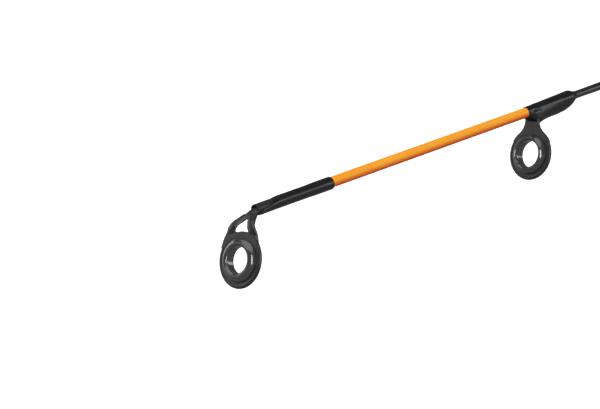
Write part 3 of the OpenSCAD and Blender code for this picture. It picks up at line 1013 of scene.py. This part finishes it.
@dataclass
class RingSeat:
    """What the tip-top and the guides share: a leaning disc with an insert.

    The insert's bead is 2 * half long where it's pressed in, and its rounded faces stand further out, by
    front_stand and back_stand times half.
    """

    node: str
    mount: str
    outer: float
    disc: float
    half: float
    plate_half: float = 0.36
    front_stand: float = 1.38
    back_stand: float = 1.14
    hole_trim: float = 0.04
    seat_lip: float = 0.08
    press_in: float = 0.12

    def __post_init__(self) -> None:
        """Reads where the ring is and how wide its hole is."""
        low, high = box_of(self.node)
        self.centre = (low + high) / 2
        found = [m for m in frame["record"]["mounts"] if m["name"] == self.mount]
        self.hole = found[0]["dims"]["r_mm"]
        self.place = ring_place(self.centre)

    def turned(self, name: str, loop: Sequence[Point2], segments: int) -> Piece:
        """Turns a loop about the ring's own axis, in millimetres in the rod's frame.

        Args:
            name: The object's name.
            loop: Closed loop of (along the axis, radius) points.
            segments: Steps round the axis.

        Returns:
            The new object.
        """
        made = revolve(name, loop, segments, scale=1.0)
        upright = Matrix(((0.0, 1.0, 0.0), (0.0, 0.0, 1.0), (1.0, 0.0, 0.0))).to_4x4()
        made.data.transform(self.place @ upright)
        return made

    def insert(self, name: str) -> Piece:
        """Makes the polished insert.

        Args:
            name: The piece's name.

        Returns:
            The piece.
        """
        loop = insert_loop(self.hole - self.hole_trim, self.outer, self.half * self.front_stand,
                           self.half * self.back_stand, self.plate_half + self.seat_lip)
        made = self.turned(name, loop, 160)
        made.data.transform(Matrix.Scale(MM, 4))
        return dress(made, RING, "rod", self.node)

    def disc_part(self) -> Piece:
        """The disc's raw part, in millimetres."""
        loop = disc_loop(self.outer - self.press_in, self.disc, self.plate_half)
        return self.turned("disc_part", loop, 128)


@dataclass
class TipTop:
    """The tip-top: a pressed disc on two arms, its insert, and the shrunk sleeve over its tube.

    An arm's points are (sideways, up the disc's plane, in front of it), the web's corners are in that
    plane, and the nose's points are (ahead of the tube, up).
    """

    arm_line: tuple[Point3, ...] = (
        (3.3, 3.2, -0.2), (3.06, 3.9, -0.1), (2.76, 4.6, 0.04), (2.42, 5.25, 0.22), (2.08, 5.85, 0.22),
        (1.76, 6.45, -0.12), (1.3, 7.0, -0.66), (0.95, 7.5, -1.15), (0.75, 7.85, -1.55))
    arm_size: tuple[Point2, ...] = (
        (0.62, 0.2), (0.76, 0.3), (0.86, 0.38), (0.88, 0.43), (0.84, 0.43), (0.82, 0.43), (0.86, 0.43),
        (0.9, 0.43), (0.86, 0.43))
    arm_shift: tuple[float, float] = (-0.1, -0.06)
    web_corners: tuple[Point2, ...] = (
        (4.46, 1.9), (3.94, 2.9), (3.47, 3.8), (3.13, 4.5), (2.97, 5.1), (2.3, 5.16), (1.7, 4.96),
        (0.9, 4.86), (-0.9, 4.86), (-1.9, 4.9), (-2.5, 5.16), (-3.38, 5.1), (-3.72, 4.5), (-4.08, 3.8),
        (-4.42, 2.9), (-4.68, 1.9), (-3.5, 2.1))
    nose_line: tuple[Point2, ...] = (
        (-0.8, -0.15), (0.0, -0.25), (0.6, -0.42), (1.1, -0.68), (1.5, -0.98), (1.72, -1.2))
    nose_size: tuple[Point2, ...] = (
        (0.85, 0.66), (0.95, 0.6), (1.15, 0.5), (1.42, 0.45), (1.62, 0.42), (1.66, 0.36))
    rear_lip: tuple[float, ...] = (0.09, 0.03, -0.02, 0.0)
    press_length: float = 6.0
    press_depth: float = 0.8
    skin: float = 0.14

    def build(self) -> list[Piece]:
        """Makes the frame, the insert, the tube and the sleeve.

        Returns:
            The pieces.
        """
        seat = RingSeat("tip_top_ring", "tip_ring", 3.88, 5.02, 0.92)
        return [self.frame_piece(seat), seat.insert("tip_ring_insert"), self.tube(), self.sleeve()]

    def frame_piece(self, seat: RingSeat) -> Piece:
        """The disc, the web under the window, both arms and the nose, in one skin.

        Args:
            seat: The tip-top's ring seat.

        Returns:
            The piece.
        """
        rim_line = circle_points(seat.outer + 0.3, range(150, 20, -10))
        web = [*self.web_corners, *rim_line, (3.5, 2.1)]
        parts = [seat.disc_part(), extrude_outline("web", web, seat.plate_half, seat.place)]
        for side, shift in zip((-1, 1), self.arm_shift):
            path = [seat.place @ Vector((side * h + shift, u, d)) for h, u, d in self.arm_line]
            parts.append(sweep("arm", path, self.arm_size))
        tube_end = box_of("tip_top_tube")[1].x
        parts.append(sweep("nose", [(tube_end + x, 0.0, z) for x, z in self.nose_line], self.nose_size))
        made = fuse("tip_top_plate", parts, FINE_VOXEL, PLATE_SMOOTH)
        return dress(made, FRAME, "rod", "tip_top_frame")

    def tube(self) -> Piece:
        """The metal tube that sits inside the sleeve.

        Returns:
            The piece.
        """
        low, high = box_of("tip_top_tube")
        outer, inner = high.y, high.y - 0.2
        line = fillet([(low.x, inner), (low.x, outer), (high.x, outer), (high.x, inner)], 0.06, 3)
        return dress(revolve("tip_tube", line, 48), FRAME, "rod", "tip_top_tube")

    def sleeve(self) -> Piece:
        """The shrunk sleeve: tight on the tube, dipped where it's pressed flat, closed round its end.

        Returns:
            The piece.
        """
        low, high = box_of("tip_top_wrap")
        start, end, outer = low.x, high.x, high.y
        step = box_of("tip_sleeve")[1].x
        stations = [start + t for t in (0.0, 0.04, 0.14, 0.3)]
        stations += list(np.linspace(start + 0.5, end - 1.0, 100))
        stations += [end - 1.0 + 1.15 * math.sin(t) for t in quarter_turn(12)]

        def section(row: int, layer: int) -> tuple[float, float, float]:
            """The rod's section at a station.

            Args:
                row: Index of the station.
                layer: 0 for the outer skin and 1 for the inner one.

            Returns:
                Height of the middle, half height and half width.
            """
            x = stations[row]
            lip = self.rear_lip[row] if layer == 0 and row < len(self.rear_lip) else 0.0
            over = 1 / (1 + math.exp((x - step - 0.8) * 2.2))
            size = outer - 0.05 * (1 - over) - lip - self.skin * layer
            press = min(max((x - end + self.press_length) / self.press_length, 0.0), 1.0)
            dip = self.press_depth * press * press * (3 - 2 * press)
            round_off = math.sqrt(max(1e-6, 1 - (max(x - end + 1.0, 0.0) / 1.151) ** 2)) ** 0.6
            half_z, half_y = size + 0.05 - dip / 2, size * (1 + 0.03 * press)
            return -0.06 - dip / 2, half_z * round_off, half_y * round_off

        def rows(layer: int) -> list[list[Point3]]:
            """The rings of points of one skin.

            Args:
                layer: 0 for the outer skin and 1 for the inner one.

            Returns:
                The rings from rear to front.
            """
            made: list[list[Point3]] = []
            for row, x in enumerate(stations):
                middle, half_z, half_y = section(row, layer)
                rough = 0.01 + 0.035 * math.exp(-abs(x - end + 1.2) / 0.9)
                along = x - self.skin * layer * (x > end - 1)
                ring = []
                for a in turn_angles(72):
                    grow = 1 + rough * skin_noise(x, a, 0.5, 1.4)
                    ring.append((along, half_y * grow * math.cos(a), middle + half_z * grow * math.sin(a)))
                made.append(ring)
            return made

        made = shell("tip_shrunk_sleeve", rows(0), rows(1), True)
        return dress(made, SHRINK, "rod", "tip_top_wrap")


@dataclass
class SingleFootGuide:
    """A pressed guide on one foot, its insert and the shrunk sleeve that holds it.

    The foot's tables run from the neck to the foot's rear tip. The sleeve's table has a row for each knot:
    the station, the share of the host's radius, the skin's own thickness, and how far it reaches down and
    sideways over the foot and the neck.
    """

    index: int
    outer: float
    disc: float
    half: float
    neck: float
    blank: Blank
    lean_in: float = 0.14
    flank: float = 0.15
    skin: float = 0.1
    wrap: float = 0.15
    toe_gap: float = 2.3
    foot_fall: tuple[Point2, ...] = ((0.6, 0.48), (0.74, 0.4), (0.88, 0.26), (1.0, 0.12))
    sleeve_rows: tuple[tuple[float, ...], ...] = (
        (-13.5, 0, 0.07, 0, 0), (-13.0, 0.12, 0.1, 0.1, 0.19), (-12.6, 0.34, 0.16, 0.22, 0.27),
        (-12.1, 0.78, 0.3, 0.36, 0.32), (-11.5, 0.98, 0.4, 0.5, 0.39), (-11.0, 1, 0.41, 0.6, 0.44),
        (-9.3, 1, 0.34, 0.88, 0.52), (-7.0, 1, 0.29, 0.99, 0.56), (-4.3, 1, 0.23, 1.01, 0.58),
        (-2.7, 1, 0.2, 1.08, 0.64), (-1.5, 1, 0.18, 1.17, 0.76), (-0.4, 1, 0.17, 1.24, 0.94),
        (0.6, 1, 0.15, 0.83, 0.94), (1.6, 1, 0.12, 0.44, 0.72), (2.4, 1, 0.06, 0.2, 0.4))

    def __post_init__(self) -> None:
        """Reads the foot's place from the CAD nodes: its top, its depth, and where it meets the neck."""
        self.name = f"guide_{self.index}"
        self.seat = RingSeat(self.name + "_ring", self.name + "_line", self.outer, self.disc, self.half)
        low, high = box_of(self.name + "_wrap")
        self.top, self.depth = high.z - self.wrap, -low.z - high.z
        self.root = self.seat.place @ Vector((0, self.height(0.25), 0))
        self.length = self.root.x - low.x - self.toe_gap

    def height(self, sunk: float) -> float:
        """How far up the disc's plane the rod's underside is, less what the neck is sunk in it."""
        return (-self.seat.centre.z - self.top - sunk) / math.cos(LEAN)

    def build(self) -> list[Piece]:
        """Makes the frame, the insert and the sleeve.

        Returns:
            The pieces.
        """
        return [self.frame_piece(), self.seat.insert(self.name + "_insert"), self.sleeve()]

    def neck_outline(self) -> list[Point2]:
        """The waisted neck in the disc's plane, from the disc's middle up to the rod.

        Returns:
            The closed outline.
        """
        half = self.neck / 2
        side = circle_points(self.disc, (30, 40, 49, 56))
        wide, foot = side[-1]
        rise = self.height(0.1) - foot
        for t, ease in ((0.14, 0.6), (0.28, 0.32), (0.44, 0.14), (0.6, 0.05), (0.8, 0.0), (1.0, 0.0)):
            side.append((half + (wide - half) * ease, foot + rise * t))
        outline = side + [(-x, y) for x, y in reversed(side)]
        leaning = [(x - self.lean_in * min(1.0, max(0.0, (y - foot) / rise * 3)), y) for x, y in outline]
        return leaning + circle_points(self.seat.outer + 0.2, range(145, 25, -10))

    def frame_piece(self) -> Piece:
        """The disc, the waisted neck and the foot, in one skin.

        Returns:
            The piece.
        """
        root, top, depth, half = self.root, self.top, self.depth, self.neck / 2
        low_w = self.neck * 0.25
        path = [(root.x + 0.35, 0.0, root.z - 1.0), (root.x + 0.1, 0.0, -top - 0.5),
                (root.x - 0.9, 0.0, -top - 0.55), (root.x - 2.6, 0.0, -top - depth * 0.5)]
        path += [(root.x - self.length * t, 0.0, -top - depth * fall) for t, fall in self.foot_fall]
        widths = [(half * 0.9, 0.3), (half * 0.78, 0.36), (low_w * 1.15, 0.42), (low_w, depth * 0.45),
                  (low_w, depth * 0.42), (low_w * 0.85, depth * 0.34), (low_w * 0.66, depth * 0.22),
                  (low_w * 0.4, 0.1)]
        neck = extrude_outline("neck", self.neck_outline(), self.seat.plate_half, self.seat.place)
        parts = [self.seat.disc_part(), neck, sweep("foot", path, widths)]
        voxel = FINE_VOXEL if self.index == 1 else COARSE_VOXEL
        made = fuse(self.name + "_plate", parts, voxel, PLATE_SMOOTH)
        return dress(made, FRAME, "rod", self.name + "_frame")

    def sleeve(self) -> Piece:
        """The shrunk sleeve: drawn over the foot, flared round the neck, gathered on the blank behind.

        Returns:
            The piece.
        """
        root = self.root.x
        back, ahead = self.length / 11.5, self.neck / 3.1
        knots, *tables = np.array(self.sleeve_rows).T
        stations = root + np.where(knots < 0, knots * back, knots * ahead)
        fine = np.concatenate([np.linspace(stations[0], stations[5], 44)[:-1],
                               np.linspace(stations[5], stations[9], 40)[:-1],
                               np.linspace(stations[9], stations[-1], 48)])

        def smooth(values: Sequence[float]) -> np.ndarray:
            """Reads a table at the fine stations and rounds its corners.

            Args:
                values: The table at the knots.

            Returns:
                The values at the fine stations.
            """
            read = np.interp(fine, stations, values)
            padded = np.concatenate([[read[0]] * 3, read, [read[-1]] * 3])
            return np.convolve(padded, (0.06, 0.12, 0.2, 0.24, 0.2, 0.12, 0.06), "valid")

        host_w, add, reach_w, width_w = (smooth(v) for v in tables)

        def radius(i: int, angle: float) -> float:
            """Distance from the axis to the stretched skin.

            Args:
                i: Index of the station.
                angle: Angle round the axis; 0 points down.

            Returns:
                The distance.
            """
            end_r = self.blank.radius(fine[i])
            around = end_r * (1 - host_w[i]) + self.top * host_w[i] + add[i]
            full = self.top + self.depth + 0.24 - end_r - 0.07
            reach = max(around, end_r + 0.07 + full * reach_w[i])
            half_w = self.neck / 2 * width_w[i]
            edge, corner = abs(math.remainder(angle, 2 * math.pi)), math.hypot(reach, half_w)
            tilt, swing = math.atan2(half_w, reach), math.acos(min(1.0, around / corner))
            if edge <= tilt:
                return reach / math.cos(edge)
            if edge >= tilt + swing:
                return around
            bulge = self.flank * (reach - around) * math.sin(math.pi * (edge - tilt) / swing)
            return around / math.cos(tilt + swing - edge) + bulge

        taps = [(d * 0.09, w / 24) for d, w in zip(range(-4, 5), (1, 2, 3, 4, 4, 4, 3, 2, 1))]

        def rows(inset: float) -> list[list[Point3]]:
            """The rings of points of one skin.

            Args:
                inset: How far the skin lies inside the outer one.

            Returns:
                The rings from rear to front.
            """
            made: list[list[Point3]] = []
            for i, x in enumerate(fine):
                rough = 0.02 + 0.07 * math.exp(-abs(x - root - 0.3) / (1.5 * ahead))
                lip = 0.05 if inset == 0 and i in (0, len(fine) - 1) else 0.0
                ring = []
                for a in turn_angles(80):
                    stretched = sum(radius(i, a + shift) * weight for shift, weight in taps)
                    spot = (x * 0.7, 2.0 * math.cos(a), 2.0 * math.sin(a) + self.index)
                    r = stretched + rough * noise.noise(spot) - inset - lip
                    ring.append((x, r * math.sin(a), -r * math.cos(a)))
                made.append(ring)
            return made

        made = shell(self.name + "_shrunk_sleeve", rows(0.0), rows(self.skin), False)
        return dress(made, SHRINK, "rod", self.name + "_wrap")


class End(Enum):
    """The two ends of the hook keeper."""

    FRONT = "front"
    REAR = "rear"


@dataclass
class HookKeeper:
    """A wire loop lashed under the blank."""

    wire: float = 0.55
    loop: float = 3.2
    turns: int = 16
    thread: float = 0.035
    end_taper: float = 0.1

    def build(self) -> list[Piece]:
        """Makes the wire and both lashings.

        Returns:
            The pieces.
        """
        low, high = box_of("hook_keeper")
        line_z, mid = high.z - self.wire, (low.x + high.x) / 2
        flat = mid - self.loop - low.x
        path: list[Point3] = [(low.x, 0.0, line_z + 0.12), (low.x + 0.8, 0.0, line_z)]
        path += [(low.x + flat * t, 0.0, line_z) for t in (0.4, 0.7, 0.88)]
        path += [(mid - self.loop * math.cos(a), 0.0, line_z - self.loop * math.sin(a))
                 for a in even_steps(0.0, math.pi, 24)]
        path += [(high.x - flat * t, 0.0, line_z) for t in (0.88, 0.7, 0.4)]
        path += [(high.x - 0.8, 0.0, line_z), (high.x, 0.0, line_z + 0.12)]
        tip, full = (self.wire * 0.55, self.wire * 0.35), (self.wire, self.wire)
        wire = sweep("keeper_wire", path, [tip] + [full] * (len(path) - 2) + [tip], segments=16, scale=MM)
        return [dress(wire, FRAME, "rod", "hook_keeper")] + [self.lashing(end) for end in End]

    def lashing(self, end: End) -> Piece:
        """One lashing: a lacquered skin with the thread's turns showing through.

        Args:
            end: Which end of the keeper it holds.

        Returns:
            The piece.
        """
        node = "keeper_wrap_" + end.value
        low, high = box_of(node)
        top, reach = high.z - 0.02, -low.z - 0.02
        rows, columns = 6 * self.turns + 1, 64
        points: list[Point3] = []
        for t in even_steps(0.0, 1.0, rows - 1):
            x = low.x + (high.x - low.x) * t
            sunk = self.end_taper * math.exp(-min(t, 1 - t) * 26) + self.thread
            for k, angle in enumerate(turn_angles(columns)):
                skin = top + (reach - top) * max(0.0, math.cos(angle)) ** 5
                turn = self.thread * abs(math.sin(math.pi * (t * self.turns + k / columns)))
                r = skin + turn - sunk
                points.append((x, r * math.sin(angle), -r * math.cos(angle)))
        made = mesh_object("keeper_lashing_" + end.value, points, tube_faces(rows, columns))
        return dress(made, THREAD, "rod", node)


@dataclass
class Grips:
    """Foam grips, the butt cap, the trim rings and the winding check."""

    shank: float = 7.0
    cap_ribs: int = 36
    cap_round: float = 2.2
    cap_groove: tuple[Point2, ...] = (
        (4.2, 0.0), (3.8, 0.1), (3.65, 0.45), (3.05, 0.45), (2.9, 0.1), (2.5, 0.0), (0.3, 0.0), (0.0, 0.3))
    fore_round: float = 1.2
    ring_bore: float = 2.6
    check_bore: float = 2.5

    def build(self) -> list[Piece]:
        """Makes the pieces of both grips.

        Returns:
            The pieces.
        """
        return [self.rear(), self.fore(), self.cap(), self.trim("rear_trim_ring", "trim_ring_rear"),
                self.trim("front_trim_ring", "trim_ring_front"), self.check()]

    def foam_skin(self, name: str, line: Sequence[Point2], node: str) -> Piece:
        """Turns a foam grip with a slightly uneven ground surface.

        Args:
            name: The piece's name.
            line: Its profile.
            node: The CAD node it stands for.

        Returns:
            The piece.
        """
        made = revolve(name, line, 128, lambda x, a: 0.05 * (skin_noise(x, a, 0.3, 3.0) - 0.6))
        dress(made, FOAM, "rod", node)
        return made

    def rear(self) -> Piece:
        """The rear grip: a shank in the cap, a straight run, and an ease down to the reel seat.

        Returns:
            The piece.
        """
        low, high = box_of("rear_grip")
        outer, fore, shank = high.y, high.x, low.x + self.shank
        neck = outer * 0.78
        ease_from = shank + (fore - shank) * 0.6 + 1
        line = [(low.x, 0.0), (low.x, outer - 3.0), (shank, outer - 3.0), (shank, outer - 0.5)]
        line += rear_corner(shank, outer, 0.5, 5)
        line += eased((shank + 1, outer), (ease_from, outer), 16)
        line += eased((ease_from, outer), (fore - 2, neck), 32)
        line += [(fore - 1, neck), *front_corner(fore, neck, 1.0, 6), (fore, 0.0)]
        return self.foam_skin("rear_grip_foam", line, "rear_grip")

    def fore(self) -> Piece:
        """The fore grip: a short cone that swells at the reel seat.

        Returns:
            The piece.
        """
        low, high = box_of("fore_grip")
        outer, size = high.y, self.fore_round
        tip = box_of("winding_check")[1].y + 0.3
        line = [(low.x, 0.0), (low.x, outer - size), *rear_corner(low.x, outer, size, 6)]
        line += eased((low.x + size, outer), (low.x + 8.0, outer), 6)
        line += eased((low.x + 9, outer), (high.x - 1.6, tip), 32)
        line += [*front_corner(high.x, tip, size, 6), (high.x, 0.0)]
        return self.foam_skin("fore_grip_foam", line, "fore_grip")

    def cap(self) -> Piece:
        """The rubber butt cap with a ring of small grip ribs.

        Returns:
            The piece.
        """
        low, high = box_of("butt_cap")
        outer, inner = high.y, high.y - 2.87
        line = [(low.x + 0.7, 0.0), (low.x + 0.7, outer - 6.4), (low.x + 0.25, outer - 5.8),
                (low.x, outer - 5.2), (low.x, outer - 2.4), *rear_corner(low.x, outer, self.cap_round, 9)]
        line += [(high.x - back, outer - cut) for back, cut in self.cap_groove]
        line += [(high.x, inner), (high.x - 7.0, inner), (high.x - 7.0, 0.0)]
        ribs = RibRing(low.x + 2.6, 7.0, outer - 0.12, 0.34, self.cap_ribs, RUBBER)
        made = join_meshes("butt_cap_rubber", [revolve("cup_skin", line, 128), ribs.build("cup_ribs")])
        return dress(made, RUBBER, "rod", "butt_cap")

    def trim(self, node: str, name: str) -> Piece:
        """A turned trim ring with one groove.

        Args:
            node: The CAD node it stands for.
            name: The piece's name.

        Returns:
            The piece.
        """
        low, high = box_of(node)
        outer, inner, mid = high.y, self.ring_bore, (low.x + high.x) / 2
        corners = [(low.x, inner), (low.x, outer - 0.35), (low.x + 0.4, outer), (mid - 0.55, outer),
                   (mid - 0.3, outer - 0.5), (mid + 0.3, outer - 0.5), (mid + 0.55, outer),
                   (high.x - 0.4, outer), (high.x, outer - 0.35), (high.x, inner)]
        return dress(revolve(name, fillet(corners, 0.16, 3), 128), METAL, "rod", node)

    def check(self) -> Piece:
        """The winding check: a turned collar that runs out to the blank.

        Returns:
            The piece.
        """
        low, high = box_of("winding_check")
        outer, inner = high.y, self.check_bore
        corners = [(low.x, inner), (low.x, outer), (low.x + 1.2, outer), (low.x + 1.5, outer - 0.55),
                   (low.x + 1.6, outer - 0.6)]
        corners += eased((low.x + 1.6, outer - 0.6), (low.x + 4.8, inner + 0.5), 8)
        corners.append((high.x, inner))
        made = revolve("winding_check_collar", fillet(corners, 0.15, 3), 96)
        return dress(made, METAL, "rod", "winding_check")


@dataclass
class ReelSeat:
    """The reel seat: barrel, hoods, liners, washer, nut and the hidden arbors."""

    flutes: int = 20
    nut_play: float = 0.08
    core_depth: float = 0.9

    def build(self) -> list[Piece]:
        """Makes the moving and fixed pieces, and dresses the CAD nodes that stay.

        Returns:
            The new pieces.
        """
        hoods = (("fixed_hood", "hood_fixed", "rod"), ("moving_hood", "hood_moving", "hood"))
        pieces = [dress(softened_node(node, name, 0.2, 3), NYLON, body, node) for node, name, body in hoods]
        pieces.append(self.nut())
        keep = {"seat_body": NYLON, "fixed_hood_liner": RUBBER, "moving_hood_liner": RUBBER,
                "thrust_washer": METAL, "seat_arbor_front": ARBOR, "seat_arbor_rear": ARBOR}
        for node, finish in keep.items():
            shown = frame["nodes"][node]
            shown.data.materials.clear()
            shown.data.materials.append(finish.material())
            LOG.info("%s: %s, kept as it is", node, finish.name)
        return pieces

    def nut(self) -> Piece:
        """The lock nut: a turned body with rounded ribs set round it.

        Returns:
            The piece.
        """
        low, high = box_of("lock_nut")
        core, inner = high.z - self.core_depth, box_of("seat_body")[1].y + self.nut_play
        corners = [(low.x, inner), (low.x, core - 0.8), (low.x + 0.5, core), (high.x - 0.9, core),
                   (high.x - 0.6, core - 0.7), (high.x, core - 1.0), (high.x, inner)]
        body = revolve("nut_core", fillet(corners, 0.3, 4), 128)
        ribs = RibRing(low.x + 0.7, high.x - low.x - 1.9, core - 0.25, 1.05, self.flutes, NYLON)
        made = join_meshes("lock_nut_fluted", [body, ribs.build("nut_ribs")])
        return dress(made, NYLON, "nut", "lock_nut")


# ---------------------------------------------------------------- the room


@dataclass
class Studio:
    """Floor, soft lights and the camera.

    A lamp has its name, its place, what it looks at, its width and height, and its power.
    """

    lens: float = 175.0
    camera_at: Point3 = (0.94958, 0.34977, 0.09566)
    right: Point3 = (-0.6639942, 0.7326304, -0.1495475)
    up: Point3 = (-0.2407464, -0.0201144, 0.9703796)
    back: Point3 = (0.7079215, 0.6803295, 0.1897340)
    floor_half: float = 12.0
    floor_seen: Colour = (0.9, 0.9, 0.9)
    floor_lit: Colour = (0.2, 0.2, 0.2)
    floor_glow: float = 0.56
    floor_reflected: float = 0.16
    world_light: float = 0.36
    world_reflected: float = 0.12
    lamps: tuple[tuple[str, Point3, Point3, Point2, float], ...] = (
        ("top", (0.75, 0.1, 1.1), (0.5, 0.0, 0.0), (1.5, 1.2), 7.0),
        ("front", (1.34, 0.88, 0.37), (0.56, 0.0, 0.0), (0.26, 0.8), 8.0),
        ("left", (0.8, -0.85, 0.26), (0.56, 0.0, 0.0), (1.0, 0.54), 2.6),
        ("right", (-0.08, 0.64, 0.11), (0.56, 0.0, 0.0), (0.5, 0.22), 1.1))

    def build(self) -> None:
        """Sets up the room."""
        bpy.context.scene.view_settings.view_transform = "Standard"
        self.set_camera()
        self.set_floor()
        self.set_world()
        self.set_lamps()

    def set_camera(self) -> None:
        """Places the camera."""
        data = bpy.data.cameras.new("view")
        data.lens, data.sensor_width = self.lens, 36.0
        data.clip_start, data.clip_end = 0.01, 50.0
        made = placed("view", data)
        axes = Matrix((self.right, self.up, self.back)).transposed().to_4x4()
        made.matrix_world = Matrix.Translation(self.camera_at) @ axes
        bpy.context.scene.camera = made

    def set_floor(self) -> None:
        """A wide pale floor just under the rod, white to the camera where nothing shades it."""
        low, size = min(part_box(node)[0].z for node in frame["nodes"]) - 0.0006, self.floor_half
        mesh = bpy.data.meshes.new("floor")
        mesh.from_pydata([(-size, -size, low), (size, -size, low), (size, size, low), (-size, size, low)],
                         [], [(0, 1, 2, 3)])
        paint = bpy.data.materials.new("floor_white")
        paint.use_nodes = True
        canvas = NodeCanvas(paint.node_tree)
        rays = canvas.add("LightPath").outputs
        seen, glossy = rays["Is Camera Ray"], rays["Is Glossy Ray"]
        bright = canvas.math("MAXIMUM", seen, canvas.math("MULTIPLY", glossy, self.floor_reflected))
        canvas.put(paint.node_tree.nodes["Principled BSDF"], Roughness=1.0, Specular_IOR_Level=0.0,
                   Emission_Color=(1.0, 1.0, 1.0, 1.0),
                   Emission_Strength=canvas.math("MULTIPLY", seen, self.floor_glow),
                   Base_Color=canvas.mix_colour(bright, self.floor_lit, self.floor_seen))
        mesh.materials.append(paint)
        placed("floor", mesh)

    def set_world(self) -> None:
        """White to the camera, grey as light, and dark in reflections."""
        world = bpy.data.worlds.new("studio")
        bpy.context.scene.world = world
        world.use_nodes = True
        canvas = NodeCanvas(world.node_tree)
        rays = canvas.add("LightPath").outputs
        seen = canvas.math("MAXIMUM", rays["Is Camera Ray"], rays["Is Transmission Ray"])
        dull = canvas.math("SUBTRACT", 1.0, rays["Is Glossy Ray"])
        light = canvas.math("MAXIMUM", seen, canvas.math("MULTIPLY", dull, self.world_light))
        canvas.put(world.node_tree.nodes["Background"], Color=(1.0, 1.0, 1.0, 1.0),
                   Strength=canvas.math("MAXIMUM", light, self.world_reflected))

    def set_lamps(self) -> None:
        """A broad light above, a tall one in front, and a low one at each side."""
        for name, at, look, size, power in self.lamps:
            data = bpy.data.lights.new(name, "AREA")
            data.shape = "RECTANGLE"
            data.size, data.size_y = size
            data.energy = power
            made = placed(name, data)
            made.location = at
            made.rotation_euler = (Vector(look) - Vector(at)).to_track_quat("-Z", "Y").to_euler()


def main() -> None:
    """Builds the room and then every part of the rod, and reports each piece."""
    logging.basicConfig(level=logging.INFO, format="%(name)s %(message)s")
    Studio().build()
    blank = Blank()
    builders = [blank, TipTop(),
                SingleFootGuide(1, 3.88, 5.02, 1.05, 3.1, blank),
                SingleFootGuide(2, 4.58, 5.55, 1.15, 3.4, blank),
                SingleFootGuide(3, 6.38, 7.5, 1.31, 4.0, blank),
                HookKeeper(), Grips(), ReelSeat()]
    total = sum(len(builder.build()) for builder in builders)
    bpy.context.view_layer.update()
    LOG.info("%d pieces", total)


if __name__ == "__main__":
    main()
